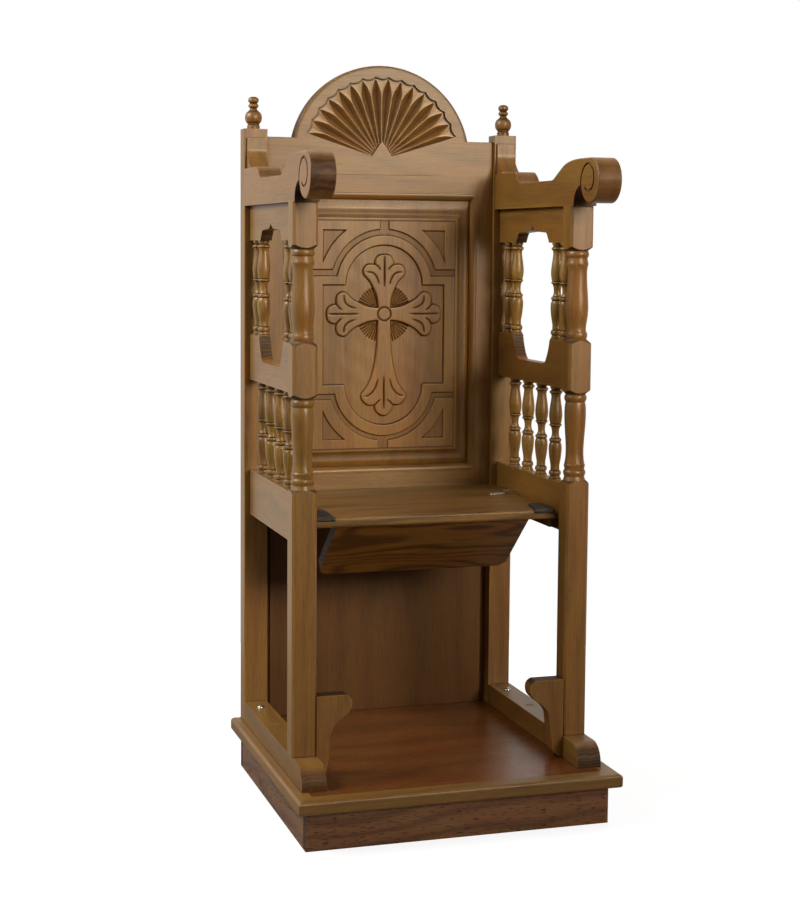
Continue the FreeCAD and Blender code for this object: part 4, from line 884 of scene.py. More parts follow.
def panel_depth(u, v):
    """Depth of the carving under the panel's face, and its two masks.  share is 1 on the
    cross and 0 beside it, quarter is 1 in the rosette."""
    ground_line, channel_line, corner_line = carving_distances(u, v)
    ground = sunk(ground_line, GROUND)
    cross, veins = cross_distance(u, v)
    ribs, rib_hollow, rib_arris = rosette(u, v)
    outside = smooth(cross / 2.5)
    share = smooth(0.5 - cross / WALL)
    low_ground = ground > GROUND / 2
    carved = np.maximum.reduce([ground, sunk(channel_line, CHANNEL),
                                sunk(corner_line, CHANNEL)])
    carved = carved + (hand_ripple(u, v) + ribs) * outside * low_ground
    top = EASED_DEEP * (1.0 - smooth(-cross / EASED_WIDE)) ** 2 + veins
    depth = carved * (1.0 - share) + top * share
    quarter = outside * (np.hypot(u, v) < ROSETTE + 2.0)
    # The veins, the sunk floors and the foot of the cross's walls are darkened as stain and
    # painted shade.
    floor = np.where(low_ground, GROUND_STAIN_AND_SHADE, CHANNEL_STAIN_AND_SHADE * smooth(carved / CHANNEL))
    foot = FOOT_STAIN_AND_SHADE * smooth(1.0 - cross / FOOT_WIDE) * (1.0 - 0.5 * quarter)
    hollow = np.maximum.reduce([rib_hollow * quarter, np.minimum(veins / 1.3, 1.0) * share,
                                (1.0 - share) * floor * (1.0 - quarter),
                                (1.0 - share) * foot])
    return depth, hollow, rib_arris * quarter


print("rosette of", 4 * RIBS, "ribs, radius", ROSETTE, "mm")

# %% [markdown]
# ## The panel is three boards
#
# A panel this wide is glued up from boards, and the joints show where the grain changes.
# Each board is a closed slab whose face is the carving, sampled about every millimetre.
# More masks come from comparing each point with the mean of its neighbours: deeper than them
# is a hollow, prouder is an arris.  The carved field sits a little right of the middle.

# %% Carve the boards
PANEL_X, PANEL_Z = 8.0, 1023.7        # middle of the cross
FACE_Y, BOARD_THICK = 288.5, 9.0
FIELD_LOW, FIELD_TOP = 719.0, 1233.0
BOARD_EDGES = (-159.0, -87.0, 103.0, 175.0)
COLUMN_STEP, ROW_STEP = 1.0, 1.03
NEIGHBOURS = 3                       # points compared on each side


def mean_around(values, reach):
    """Mean over a square of 2 reach + 1 points, one direction after the other."""
    for axis in (0, 1):
        padded = np.pad(values, [(reach, reach) if k == axis else (0, 0) for k in (0, 1)],
                        mode="edge")
        count = values.shape[axis]
        shifts = [np.take(padded, range(k, k + count), axis=axis)
                  for k in range(2 * reach + 1)]
        values = sum(shifts) / len(shifts)
    return values


def slab(front, back_y):
    """Closes a grid of front points with side walls and a back: vertex list and faces."""
    rows, columns = front.shape[:2]
    index = np.arange(rows * columns).reshape(rows, columns)
    rim = np.concatenate([index[0, :-1], index[:-1, -1], index[-1, :0:-1], index[:0:-1, 0]])
    flat = front.reshape(-1, 3)
    behind = flat[rim] * (1.0, 0.0, 1.0) + (0.0, back_y, 0.0)
    middle = behind.mean(axis=0, keepdims=True)
    points = np.concatenate([flat, behind, middle])
    ring = len(flat) + np.arange(len(rim))
    return points, [grid_faces(index), grid_faces(np.stack([ring, rim]), around=True),
                    fan_faces(ring, len(points) - 1)[:, ::-1]]


def carve_board(name, left, right):
    """Board between two joints.  With b the depth below the neighbours, its hollow, darkened
    as stain and painted shade, is a smooth step of b / 1.5 - 0.12, and its arris, made paler
    as wear and a painted highlight, one of -b / 1.6 - 0.08."""
    columns = int(round((right - left) / COLUMN_STEP)) + 1
    rows = int(round((FIELD_TOP - FIELD_LOW) / ROW_STEP)) + 1
    x, z = np.meshgrid(np.linspace(left, right, columns),
                       np.linspace(FIELD_LOW, FIELD_TOP, rows))
    depth, hollow, arris = panel_depth(x - PANEL_X, z - PANEL_Z)
    bowl = depth - mean_around(depth, NEIGHBOURS)
    hollow = np.maximum(hollow, smooth(bowl / 1.5 - 0.12))
    arris = np.maximum(arris, smooth(-bowl / 1.6 - 0.08))
    front = np.stack([x, FACE_Y + depth, z], -1)
    points, faces = slab(front, FACE_Y + BOARD_THICK)
    return make_piece(name, points, faces, "raised_panel", hollow, arris, crease=80.0)


panel_boards = [carve_board(f"panel_board_{k + 1}", left, right) for k, (left, right)
                in enumerate(zip(BOARD_EDGES[:-1], BOARD_EDGES[1:]))]
print("carved boards:", [len(board.data.polygons) for board in panel_boards])

# %% [markdown]
# ## The raised margin
#
# Round the carved field the panel steps down: a narrow fillet, a hollow cove that ends in a
# soft rim, and a bevel down to the frame's opening.  Fillet and cove are one profile carried
# round the field with mitred corners.  The opening doesn't have the field's proportions, so
# the bevel is a blend from the cove's rim to the opening.  Behind the boards and under the
# frame the margin closes.

# %% Margin of the panel
FILLET = 7.0
# distance outside the field, depth, hollow, arris
# The step at the field's edge and the fillet's first millimetres are darkened as painted
# shadow and stain; the fillet's rim is made paler as a painted highlight and wear.
FILLET_ROWS = ((0.0, BOARD_THICK, 1.0, 0.0), (0.0, 3.0, 1.0, 0.0), (2.0, 3.0, 0.7, 0.0),
               (5.6, 3.0, 0.0, 0.3), (6.9, 3.05, 0.0, 1.0))
COVE = ((0.0, 3.2), (4.0, 5.6), (8.0, 7.4), (11.5, 8.0), (15.0, 7.8), (18.5, 7.3),
        (21.0, 7.1), (23.0, 7.4))    # distance outside the fillet, depth
# Darkening in the cove's deepest part, as stain and painted shade
COVE_STAIN_AND_SHADE = 0.5
SIGHT = (213.0, 677.0, 1281.0)       # the frame's opening: half width, bottom, top
SIGHT_DEEP, TONGUE = 12.0, 8.0
BEVEL_SHARE = np.array([0.1, 0.92, 1.0])
BEVEL_STAIN_AND_SHADE = (0.0, 0.3, 1.0, 0.0, 0.0)        # stain, and painted shade under the frame's moulding, darken the bevel along the frame


def margin_profile():
    """Rows of (distance outside the field, depth, hollow, arris) from the field outwards:
    the fillet, then the cove as a smooth curve through its depths, with its darkening, as
    stain and painted shade, as half a sine."""
    cove = [(FILLET + out, depth, COVE_STAIN_AND_SHADE * math.sin(math.pi * out / COVE[-1][0]), 0.0)
            for out, depth in flowing(COVE, 3)]
    return np.array([*FILLET_ROWS, *cove])


def mitred(profile, left, right, low, top, face_y):
    """Each row of the profile is a rectangle, grown by its distance outside the field."""
    out, depth = profile[:, 0, None], profile[:, 1, None]
    x = np.concatenate([left - out, right + out, right + out, left - out], axis=1)
    z = np.concatenate([low - out, low - out, top + out, top + out], axis=1)
    return np.stack([x, face_y + depth + 0.0 * x, z], -1)


def bevel_rows(inner):
    """Rectangles inner + share (opening - inner), falling to the depth of the opening, then
    two for the tongue under the frame."""
    half, low, top = SIGHT
    sight = np.array([(-half, 0.0, low), (half, 0.0, low), (half, 0.0, top),
                      (-half, 0.0, top)])
    drop = SIGHT_DEEP - COVE[-1][1]
    rows = [inner + (sight - inner) * (1.0, 0.0, 1.0) * share + (0.0, drop * share, 0.0)
            for share in BEVEL_SHARE]
    lip = rows[-1] + np.sign(sight - sight.mean(axis=0)) * (TONGUE, 0.0, TONGUE)
    return np.stack(rows + [lip, lip + (0.0, TONGUE, 0.0)])


def margin_piece():
    profile = margin_profile()
    loops = mitred(profile, BOARD_EDGES[0], BOARD_EDGES[-1], FIELD_LOW, FIELD_TOP, FACE_Y)
    loops = np.concatenate([loops, bevel_rows(loops[-1])])
    hollow = np.concatenate([profile[:, 2], BEVEL_STAIN_AND_SHADE])
    arris = np.concatenate([profile[:, 3], np.zeros(len(BEVEL_STAIN_AND_SHADE))])
    index = np.arange(loops.shape[0] * 4).reshape(-1, 4)
    faces = [grid_faces(index, around=True), index[:1], index[-1:, ::-1]]
    return make_piece("panel_margin", loops, faces, "raised_panel", np.repeat(hollow, 4),
                      np.repeat(arris, 4), crease=20.0)


panel_margin = margin_piece()
print("margin faces:", len(panel_margin.data.polygons))

# %% [markdown]
# ## The fan of the crest
#
# The crest board carries a fan: fifteen long rays between V shaped valleys, whose points
# reach the cusps of a scalloped edge.  Everything in it runs out from one centre, so the
# whole board is a polar grid about that centre.  A height field on a square grid would cut
# the rays into steps.  The columns are not evenly spaced: they follow the edges of the
# valleys, so each edge is a clean line of the mesh.

# %% Measures and outlines of the crest
CREST_CENTRE_Z, ARCH_RADIUS, ARCH_Z = 1370.9, 209.3, 1370.0
CREST_HALF, SHOULDER_Z, SEAM_Z, CREST_BACK_Y = 266.0, 1415.5, 1336.0, 313.5
FAN_START, FAN_STEP, CUSPS = 17.5, 29.0 / 3.0, 16
CUSP_RADIUS, SCALLOP = 184.0, 5.5
NOTCH_TOP, NOTCH_SIDE = 41.3, (22.9, 8.5)
RIDGE_DEPTH, VALLEY_SLOPE, RIDGE_FLAT = 4.6, 0.62, 0.55
TAPER_FROM, TAPER_TO, POINT_HALF = 138.0, 180.0, 0.35


def outline_radius(angle):
    """Distance from the centre to the board's edge along each angle: the arch above, or the
    shoulders, sides and seam of the rectangle."""
    c, s = np.cos(angle), np.sin(angle)
    drop, rise = CREST_CENTRE_Z - ARCH_Z, SHOULDER_Z - CREST_CENTRE_Z
    arch = -drop * s + np.sqrt(ARCH_RADIUS ** 2 - (drop * c) ** 2)
    side = CREST_HALF / np.maximum(np.abs(c), TINY)
    up = np.where(s > TINY, rise / np.maximum(s, TINY), FAR)
    down = np.where(s < -TINY, (CREST_CENTRE_Z - SEAM_Z) / np.maximum(-s, TINY), FAR)
    box = np.minimum(side, np.minimum(up, down))
    return np.where(arch * s > rise, np.maximum(arch, box), box)


def notch_radius(angle):
    """Distance to the two straight sides of the notch at the foot of the fan."""
    x, z = NOTCH_SIDE
    slope = (NOTCH_TOP - z) / x
    return NOTCH_TOP / (np.sin(angle) + slope * np.abs(np.cos(angle)))


def valley_half(r):
    """Half width of a valley: up to the ridges, then tapering to its point."""
    full = r * math.sin(math.radians(FAN_STEP / 2)) - RIDGE_FLAT
    share = np.clip((r - TAPER_FROM) / (TAPER_TO - TAPER_FROM), 0.0, 1.0)
    return np.maximum(full * (1.0 - share ** 1.5), POINT_HALF)


print("cusps of the fan:", CUSPS)

# %% [markdown]
# ## Carving the crest
#
# On the bench the valleys are cut with a V tool from the rim to the foot, and the scalloped
# edge is set in with a gouge.  Here the fan's own columns come first, then plain ones for
# the rest of the board.  Row by row the surface goes from the centre through the notch, up
# the fan, over its edge and across the flat to the rounded arris of the outline, and the
# wall and the back close it.

# %% The fan
FAN_ROWS, VALLEY_COLUMNS, FLAT_COLUMNS = 70, 5, 3
FAN_ROUNDS = 5                       # rounds in which angle and radius settle
TIP_DROP, TIP_RUN = 0.5, 30.0        # the ridges sink a little towards the rim


def fan_columns():
    """Columns of the fan: number of the valley each belongs to, its side, and a place from 0
    (middle of the valley) over 1 (its edge) to 2 (middle of the ridge)."""
    half = np.concatenate([np.linspace(0.0, 1.0, VALLEY_COLUMNS + 1),
                           1.0 + np.linspace(0.0, 1.0, FLAT_COLUMNS + 1)[1:]])
    rows = []
    for k in range(CUSPS - 1):
        rows += [(k, 1.0, place) for place in half]
        rows += [(k + 1, -1.0, place) for place in half[-2::-1]]
    keep = [rows[0]] + [b for a, b in zip(rows[:-1], rows[1:])
                        if a != b and not (a[2] == b[2] == 0.0)]
    return np.array(keep)


def fan_grid():
    """Angle, radius, depth, hollow and arris of the relief.  The edge of a valley lies
    valley_half / r from its middle, so angle and radius are found together in a few rounds.
    Depth = ridge depth + slope x valley_half x (1 - place) in the valleys."""
    valley, side, place = (part[None, :] for part in fan_columns().T)
    middle = np.radians(FAN_START + FAN_STEP * valley)
    half = math.radians(FAN_STEP / 2)
    rho = np.linspace(0.0, 1.0, FAN_ROWS)[:, None]
    angle = middle + side * half * place / 2.0 + 0.0 * rho
    for _ in range(FAN_ROUNDS):
        phase = (np.degrees(angle) - FAN_START) / FAN_STEP % 1.0
        edge = CUSP_RADIUS - SCALLOP * (1.0 - (2.0 * phase - 1.0) ** 2)
        start = notch_radius(angle)
        r = start + (edge - start) * rho
        a = np.minimum(valley_half(r) / r, 0.95 * half)
        angle = middle + side * np.where(place <= 1.0, place * a,
                                         a + (place - 1.0) * (half - a))
    inward = np.clip(1.0 - place, 0.0, 1.0)
    depth = RIDGE_DEPTH + VALLEY_SLOPE * valley_half(r) * inward
    depth += TIP_DROP * smooth((place - 1.0) * (r > TAPER_FROM)) * smooth(
        (r - TAPER_FROM) / TIP_RUN)
    # The valleys are darkened as stain and painted shade, and the ridges made paler as wear
    # and a painted highlight.
    hollow = np.where(place < 1.0, 0.18 + 0.40 * inward ** 1.5, 0.0)
    arris = np.where(place >= 1.0, 0.55 + 0.3 * smooth((r - TAPER_FROM) / 20.0), 0.0)
    return angle, r, depth, hollow + 0.0 * r, arris + 0.0 * r


print("fan columns:", len(fan_columns()))

# %% The whole board
INNER_ROWS, OUTER_ROWS, ARRIS_ROWS = 4, 8, 6
NOTCH_WALL, RIM_WALL = 0.5, 0.6      # width of the steps at the two ends of the fan
PLAIN_START, PLAIN_SHARES = 24.0, (0.4, 0.8)   # rows of the plain columns start and end here
SQUARE_ROUND, ARCH_ROUND = 0.8, 4.2  # rounding of the outline, and how much more on the arch
# Darkening, as stain and painted shade, at the foot of the fan's two steps, on the rim's wall,
# and where the arch's arris starts
EDGE_STAIN_AND_SHADE, WALL_STAIN_AND_SHADE, ARCH_STAIN_AND_SHADE = 0.75, 0.3, 0.5


def plain_columns():
    """Angles over the rest of the board, with one at every corner of the outline: runs of
    (first degree, last degree, number) down the left half, and their mirror image."""
    inner = math.degrees(math.asin((SHOULDER_Z - CREST_CENTRE_Z) / ARCH_RADIUS))
    outer = math.degrees(math.atan2(SHOULDER_Z - CREST_CENTRE_Z, CREST_HALF))
    foot = math.degrees(math.atan2(CREST_CENTRE_Z - SEAM_Z, CREST_HALF))
    left = [(180.0 - FAN_START + 0.25, 180.0 - inner - 0.15, 7),
            (180.0 - inner - 0.05, 180.0 - outer, 7), (180.0 - outer, 180.0 + foot, 12),
            (180.0 + foot, 270.0, 46)]
    half = np.concatenate([np.linspace(a, b, n)[(k > 1):]
                           for k, (a, b, n) in enumerate(left)])
    return np.radians(np.concatenate([half, (540.0 - half[:-1])[::-1]]))


def fan_and_plain():
    """The fan's columns with the plain ones beside them; also tells which are the fan's."""
    angle, r, depth, hollow, arris = fan_grid()
    plain = plain_columns()
    reach = outline_radius(plain)
    start = np.minimum(PLAIN_START, PLAIN_SHARES[0] * reach)
    edge = np.minimum(CUSP_RADIUS, PLAIN_SHARES[1] * reach)
    rho = np.linspace(0.0, 1.0, FAN_ROWS)[:, None]
    angle = np.concatenate([angle, plain + 0.0 * rho], axis=1)
    in_fan = np.arange(angle.shape[1]) < r.shape[1]
    r = np.concatenate([r, start + (edge - start) * rho], axis=1)
    none = np.zeros((FAN_ROWS, len(plain)))
    return angle, r, in_fan, *(np.concatenate([part, none], axis=1)
                               for part in (depth, hollow, arris))


def crest_surface():
    """Radius, angle, depth, hollow and arris, from the centre out to the back's edge.  The
    arris is a quarter circle, wider on the arch than on the shoulders and sides."""
    angle, r, in_fan, depth, hollow, arris = fan_and_plain()
    inside, outside = r[:1] - NOTCH_WALL, r[-1:] + RIM_WALL
    first, last = angle[:1], angle[-1:]
    whole = outline_radius(last)
    arch = smooth((np.sin(last) * whole - SHOULDER_Z + CREST_CENTRE_Z) / 0.02 + 0.5)
    round_off = SQUARE_ROUND + ARCH_ROUND * arch * (np.sin(last) > 0.0)
    flat = whole - round_off
    t_in = np.linspace(0.1, 1.0, INNER_ROWS)[:, None]
    t_out = np.linspace(0.0, 1.0, OUTER_ROWS)[1:, None]
    turn = np.linspace(0.0, math.pi / 2, ARRIS_ROWS + 1)[1:, None]
    rows_r = [inside * t_in, r, outside, outside + (flat - outside) * t_out,
              flat + round_off * np.sin(turn)]
    rows_a = [first + 0.0 * t_in, angle, last, last + 0.0 * t_out, last + 0.0 * turn]
    rows_d = [0.0 * inside * t_in, depth, 0.0 * last, 0.0 * flat * t_out,
              round_off * (1.0 - np.cos(turn))]
    radius, theta, deep = (np.concatenate(rows) for rows in (rows_r, rows_a, rows_d))
    stain, worn_and_highlit = np.zeros(radius.shape), np.zeros(radius.shape)
    last_row = INNER_ROWS + FAN_ROWS - 1
    stain[INNER_ROWS:last_row + 1] = hollow
    worn_and_highlit[INNER_ROWS:last_row + 1] = arris
    # The rows at the notch and at the fan's edge are darkened as stain and painted shade.
    for row in (INNER_ROWS, last_row - 1, last_row):
        stain[row] = EDGE_STAIN_AND_SHADE * in_fan
        worn_and_highlit[row] = 0.0
    stain[last_row + 1] = WALL_STAIN_AND_SHADE * in_fan
    stain[-ARRIS_ROWS - 1] = ARCH_STAIN_AND_SHADE * arch[0]
    return radius, theta, deep, stain, worn_and_highlit


def crest_piece():
    """Polar grid made into points, with a wall, a back and a centre point on each side."""
    radius, theta, deep, stain, worn_and_highlit = crest_surface()
    front = np.stack([radius * np.cos(theta), FACE_Y + deep,
                      CREST_CENTRE_Z + radius * np.sin(theta)], -1)
    rows, columns = radius.shape
    behind = front[-1] * (1.0, 0.0, 1.0) + (0.0, CREST_BACK_Y, 0.0)
    centre = np.array([[0.0, FACE_Y, CREST_CENTRE_Z], [0.0, CREST_BACK_Y, CREST_CENTRE_Z]])
    points = np.concatenate([front.reshape(-1, 3), behind, centre])
    index = np.arange((rows + 1) * columns).reshape(rows + 1, columns)
    return make_piece("crest_with_fan", points, closed_faces(index), "crest_board", stain,
                      worn_and_highlit, crease=24.0)


crest = crest_piece()
print("crest faces:", len(crest.data.polygons))

# %% [markdown]
# ## Turned balusters and finials
#
# A turner holds gouge and skew against a spinning square and works to one pattern: a long
# vase below, a long vase above, and between them beads parted by sharp V cuts.  A turned
# piece is its outline, radius against height, carried once round the axis.  A Screw modifier
# could spin it too, but an array knows every ring, and so it can store where the colour is
# darkened, as gathered stain and painted shade, and where it is made paler, as wear and a
# painted highlight.  The outline is made of straight cuts, round beads and flowing curves, and
# the radius compared with its own mean nearby gives the two masks.

# %% The turner's outline
SPOKES, RING_STEP, CLOSEST = 48, 0.8, 0.12     # points round, distance between rings
MASK_REACH = 3.2                     # length of outline over which the mean is taken


def travelled(line):
    """Length of the line up to each of its points."""
    return np.concatenate([[0.0], np.cumsum(np.hypot(*np.diff(line, axis=0).T))])


def bead(start, peak, end, steps=9):
    """Half an ellipse: it leaves start, passes the peak and comes back at end."""
    turn = np.linspace(0.0, math.pi, steps)
    z = start[1] + (end[1] - start[1]) * (1.0 - np.cos(turn)) / 2.0
    base = start[0] + (end[0] - start[0]) * (1.0 - np.cos(turn)) / 2.0
    return np.stack([base + (peak - (start[0] + end[0]) / 2.0) * np.sin(turn), z], -1)


def outline(*runs):
    """Joins runs of (radius, height) points and adds points evenly along the line."""
    line = np.concatenate([np.asarray(run, float) for run in runs])
    step = np.hypot(*np.diff(line, axis=0).T)
    line = line[np.concatenate([[True], step > 1e-6])]
    travel = travelled(line)
    even = np.linspace(0.0, travel[-1], int(travel[-1] / RING_STEP) + 1)
    at = np.unique(np.concatenate([even, travel]).round(3))
    at = at[np.concatenate([[True], np.diff(at) > CLOSEST])]
    return np.stack([np.interp(at, travel, line[:, 0]), np.interp(at, travel, line[:, 1])], -1)


def lathe_masks(line):
    """With g the mean radius nearby along the outline, less the radius itself: hollow,
    darkened as stain and painted shade, is a smooth step of g / 0.9 - 0.1, and arris, made
    paler as wear and a painted highlight, one of -g / 1.1 - 0.15."""
    r, travel = line[:, 0], travelled(line)
    near = np.exp(-((travel[:, None] - travel[None, :]) / MASK_REACH) ** 2)
    gap = (near @ r) / near.sum(axis=1) - r
    return smooth(gap / 0.9 - 0.1), smooth(-gap / 1.1 - 0.15)


def turned_piece(name, line, x, y, node):
    """Surface of revolution about the upright axis through (x, y)."""
    turn = np.linspace(0.0, 2.0 * np.pi, SPOKES, endpoint=False)
    r, z = line[:, :1], line[:, 1:]
    rings = np.stack([x + r * np.cos(turn), y + r * np.sin(turn), z + 0.0 * turn], -1)
    points = np.concatenate([rings.reshape(-1, 3), [[x, y, line[0, 1]], [x, y, line[-1, 1]]]])
    index = np.arange(len(line) * SPOKES).reshape(-1, SPOKES)
    hollow, arris = (np.repeat(mask, SPOKES) for mask in lathe_masks(line))
    return make_piece(name, points, closed_faces(index), node, hollow, arris, crease=50.0)


print("turned pieces have", SPOKES, "points round")

# %% [markdown]
# ## Sixteen balusters from one pattern
#
# Each side frame has four short balusters in its lower opening and two pairs in its upper
# one.  All follow one pattern, drawn 201 mm high; the upper ones are a little taller, so the
# pattern's heights are stretched and its radii kept, as a turner would do it.

# %% Balusters
PATTERN = outline(
    [(13.4, 0.0), (13.4, 3.2), (11.4, 4.6), (10.8, 9.5)],
    bead((10.8, 9.7), 13.3, (10.3, 19.8)), [(9.6, 20.6), (9.9, 21.5)],
    flowing([(9.9, 21.5), (9.8, 31), (12.4, 47), (14, 63.5), (13.6, 74), (11.8, 80.2)]),
    [(10.9, 81.0), (12.0, 82.4)], bead((12.0, 82.4), 13.2, (11.8, 88.6)),
    [(9.6, 89.6), (10.0, 90.4)],
    flowing([(10, 90.4), (8.2, 95), (7.7, 102), (8.6, 109.5), (10.4, 114.5)]),
    [(11.4, 115.2), (12.2, 116.4)], bead((12.2, 116.4), 13.6, (12.2, 120)),
    [(10.9, 120.6), (11.8, 121.4)],
    flowing([(11.8, 121.4), (13.4, 129), (14.2, 139.5), (13.2, 153), (10.8, 170),
             (10, 179.1), (10.9, 184)]),
    [(11.0, 184.8), (12.2, 186.2)], bead((12.2, 186.2), 14.0, (12.0, 191.6)),
    [(10.3, 192.8), (10.6, 195.4), (12.5, 196.8), (12.5, 201.0)])
PATTERN_HEIGHT = 201.0
BALUSTER_X = 293.0
# foot, head and places along the side frame
TIERS = {"lower": (680.0, 881.0, (-44.5, 35.5, 115.5, 195.5)),
         "upper": (981.0, 1187.0, (-90.0, -43.0, 194.0, 241.0))}
HANDS = (("left", -BALUSTER_X), ("right", BALUSTER_X))
balusters = []
for tier, (foot, head, places) in TIERS.items():
    stretched = PATTERN * (1.0, (head - foot) / PATTERN_HEIGHT) + (0.0, foot)
    for hand, x in HANDS:
        for k, y in enumerate(places):
            balusters.append(turned_piece(f"{tier}_baluster_{hand}_{k + 1}", stretched, x, y,
                                          f"{tier}_balusters_{hand}"))
print("balusters:", len(balusters), "with", len(PATTERN), "rings each")

# %% [markdown]
# ## Two finials
#
# A small urn with a bead and a button stands on each rear post.  It is turned like the
# balusters, from an outline of its own.

# %% Finials
FINIAL_BASE, FINIAL_Y = 1431.0, 298.25
FINIAL_LINE = outline(
    [(14, 0), (14, 5)], bead((13.6, 5), 14.0, (12.0, 9.0)), [(11.6, 9.3), (13.0, 10.2)],
    flowing([(13.0, 11.5), (17.4, 17.5), (18.7, 26), (16.4, 34.5), (10, 40.5), (7.4, 45)]),
    bead((7.8, 46.5), 11.3, (8.6, 54.5)), [(8.0, 55.6), (8.6, 57.0)],
    flowing([(8.8, 57), (11.2, 60), (11.8, 62.8), (11.0, 66.2), (8.0, 69.2), (4.0, 70.5),
             (0.5, 70.6)])) + (0.0, FINIAL_BASE)
finials = [turned_piece(f"turned_finial_{hand}", FINIAL_LINE, x, FINIAL_Y, f"finial_{hand}")
           for hand, x in HANDS]
print("finial rings:", len(FINIAL_LINE))

# %% [markdown]
# ## Corner pads
#
# A rubber pad is bent over each front corner of the seat, so that the seat lands softly
# against the back frame when it is tipped up.  It is a patch laid along a path: over the top
# of the seat, round the front edge and a little way down.  Behind the front edge it swells,
# on the left corner more than on the right, where it has been pressed flat; it falls to
# nothing at its rim, and shallow creases run across it.  A modifier could give a flat patch
# one thickness, but this one changes from place to place, so outer and inner skin are both
# worked out.

# %% Rubber corner pads
SEAT_FRONT = -120.0
PAD_PATH = ((-38.0, 627.0), (-60.0, 627.0), (-117.0, 627.0), (-120.0, 625.5),
            (-120.0, 620.0))         # y and z, from the top of the seat round its front
PAD_X, PAD_FLARE, PAD_TAPER = (216.0, 263.0), 15.0, 16.0
FLARE_RUN, TAPER_SHARE = 80.0, 6.0   # how far the inner side slants, and how soon it tapers
PAD_THICK, PAD_SWELL = 3.8, {"left": 9.0, "right": 1.8}
SWELL_RISE, SWELL_END, SWELL_FALL = 38.0, 84.0, 34.0   # behind the front edge
CREASE_DEEP = 0.35
PAD_ROWS, PAD_COLUMNS = 64, 26


def rounded_rim(t, power):
    """(1 - |2t - 1|^power)^(1/2): nothing at both ends, and soon full between them."""
    return np.sqrt(np.clip(1.0 - np.abs(2.0 * t - 1.0) ** power, 0.0, 1.0))


def pad_skins(most):
    """Outer and inner skin, s along the path and t across it.  Outer = path + outward x
    thickness x rim(s) x rim(t); thickness = plain + swell, and creases."""
    path = flowing(PAD_PATH, 16)
    travel = travelled(path)
    s = np.linspace(0.0, travel[-1], PAD_ROWS)
    y, z = np.interp(s, travel, path[:, 0]), np.interp(s, travel, path[:, 1])
    ahead = np.stack([np.gradient(y), np.gradient(z)], -1)
    ahead /= np.linalg.norm(ahead, axis=1, keepdims=True)
    out_y, out_z = ahead[:, 1, None], -ahead[:, 0, None]
    s, y, z, share = s[:, None], y[:, None], z[:, None], (s / travel[-1])[:, None]
    t = np.linspace(0.0, 1.0, PAD_COLUMNS)[None, :]
    behind = y - SEAT_FRONT
    inner_x = (PAD_X[0] + PAD_FLARE * np.clip(behind / FLARE_RUN, 0.0, 1.0)
               + PAD_TAPER * np.clip(1.0 - share * TAPER_SHARE, 0.0, 1.0))
    x = inner_x + (PAD_X[1] - inner_x) * t
    swell = most * smooth(behind / SWELL_RISE) * smooth((SWELL_END - behind) / SWELL_FALL)
    swell = PAD_THICK + swell * (0.75 + 0.25 * np.sin(3.1 * t))
    crease = CREASE_DEEP * np.sin(0.9 * s + 3.0 * t) * np.sin(9.0 * t + 0.12 * s)
    thick = rounded_rim(t, 8) * rounded_rim(share, 14) * (swell + crease)
    outer = np.stack([x, y + out_y * thick, z + out_z * thick], -1)
    inner = np.stack([x, y + 0.0 * t, z + 0.0 * t], -1)
    return outer, inner


def corner_pad(hand, way):
    """The two skins share the points of their rim, and way mirrors the left pad."""
    outer, inner = pad_skins(PAD_SWELL[hand])
    top = np.arange(PAD_ROWS * PAD_COLUMNS).reshape(PAD_ROWS, PAD_COLUMNS)
    under = top.copy()
    under[1:-1, 1:-1] = top.size + np.arange(top[1:-1, 1:-1].size).reshape(
        top[1:-1, 1:-1].shape)
    points = np.concatenate([outer.reshape(-1, 3), inner[1:-1, 1:-1].reshape(-1, 3)])
    return make_piece(f"corner_pad_{hand}", points * (way, 1.0, 1.0),
                      [grid_faces(top), grid_faces(under)[:, ::-1]], f"seat_pad_{hand}",
                      body="seat")


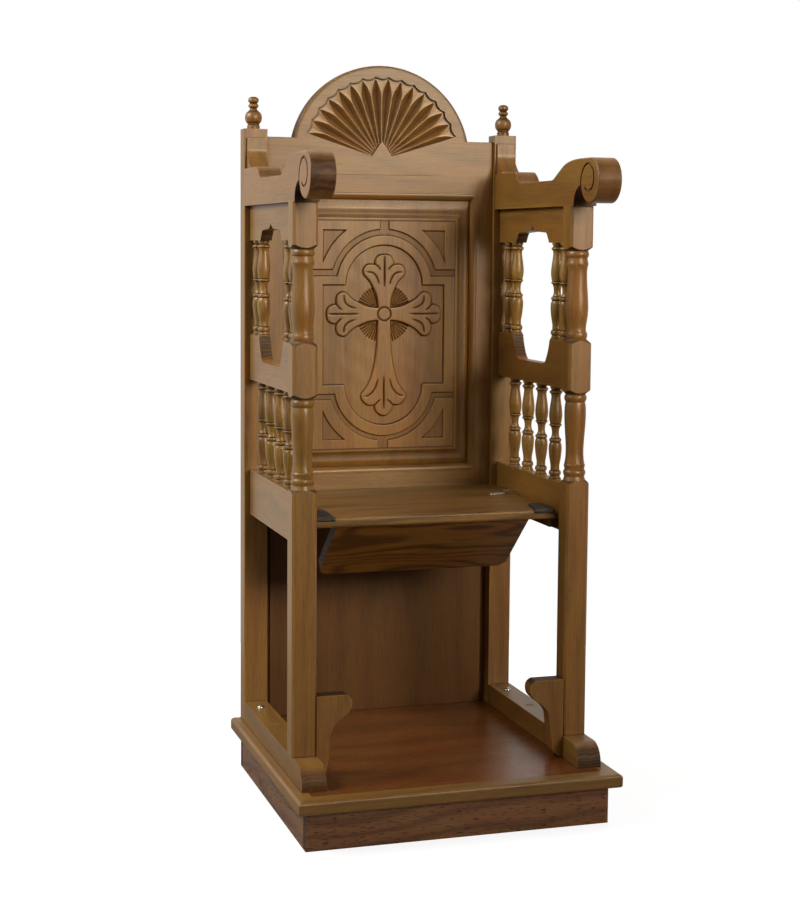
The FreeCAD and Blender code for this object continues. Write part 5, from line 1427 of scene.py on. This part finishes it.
pads = [corner_pad("left", -1.0), corner_pad("right", 1.0)]
print("pad faces:", [len(pad.data.polygons) for pad in pads])

# %% [markdown]
# ## Dress every piece
#
# Each piece takes the stain of its slot, with the grain along its length, as a joiner cuts
# it: a board split across its grain would break.  The carved and turned pieces bring their
# own masks.  The balusters differ most in shade, since they were turned from many sticks.

# %% Finish for every piece of timber and hardware
GRAIN_ALONG = {
    "X": ("plinth_front", "plinth_back", "lipping_front", "top_rail", "bottom_rail",
          "crest_board", "seat_board", "perch_board", "back_dowels", "platform_panel"),
    "Y": ("plinth_left", "plinth_right", "plinth_bearer", "lipping_left", "lipping_right",
          "runner_left", "runner_right", "arm", "upper_rail", "mid_rail", "seat_rail",
          "seat_cleat", "perch_bracket"),
}


def grain_direction(node):
    """X or Y for the pieces that lie along them, Z for all that stand."""
    for axis, starts in GRAIN_ALONG.items():
        if node.startswith(starts):
            return axis
    return "Z"


def box_of(obj):
    """Two opposite corners of the piece, in metres."""
    corners = np.array([tuple(corner) for corner in obj.bound_box])
    return corners.min(axis=0), corners.max(axis=0)


def finish_for(node, obj):
    """Steel, rubber or wood by the slot; the perch and its brackets have a stain of their
    own."""
    slot = SLOT_OF[node]
    if slot == "steel":
        return steel("steel_" + node)
    if slot == "pad_rubber":
        return rubber("rubber_" + node)
    slot = "perch_wood" if node.startswith("perch") else slot
    return wood("wood_" + node, slot, grain_direction(node), box=box_of(obj))


def dress(obj, material):
    """Fills every slot of the piece with one material."""
    if not obj.material_slots:
        obj.data.materials.append(material)
    for place in obj.material_slots:
        place.material = material


# pieces, stain, grain and spread of shades
MADE = (((*panel_boards, panel_margin), "carved_wood", "Z", 0.08),
        ((crest,), "frame_wood", "X", 0.08), (balusters, "turned_wood", "Z", 0.22),
        (finials, "frame_wood", "Z", 0.08))
for name in sorted(nodes):
    dress(nodes[name], finish_for(name, nodes[name]))
for pieces, stain, along, spread in MADE:
    for piece in pieces:
        dress(piece, wood("wood_" + piece.name, stain, along, spread=spread))
for pad in pads:
    dress(pad, rubber("rubber_" + pad.name))
print("materials:", len(bpy.data.materials))
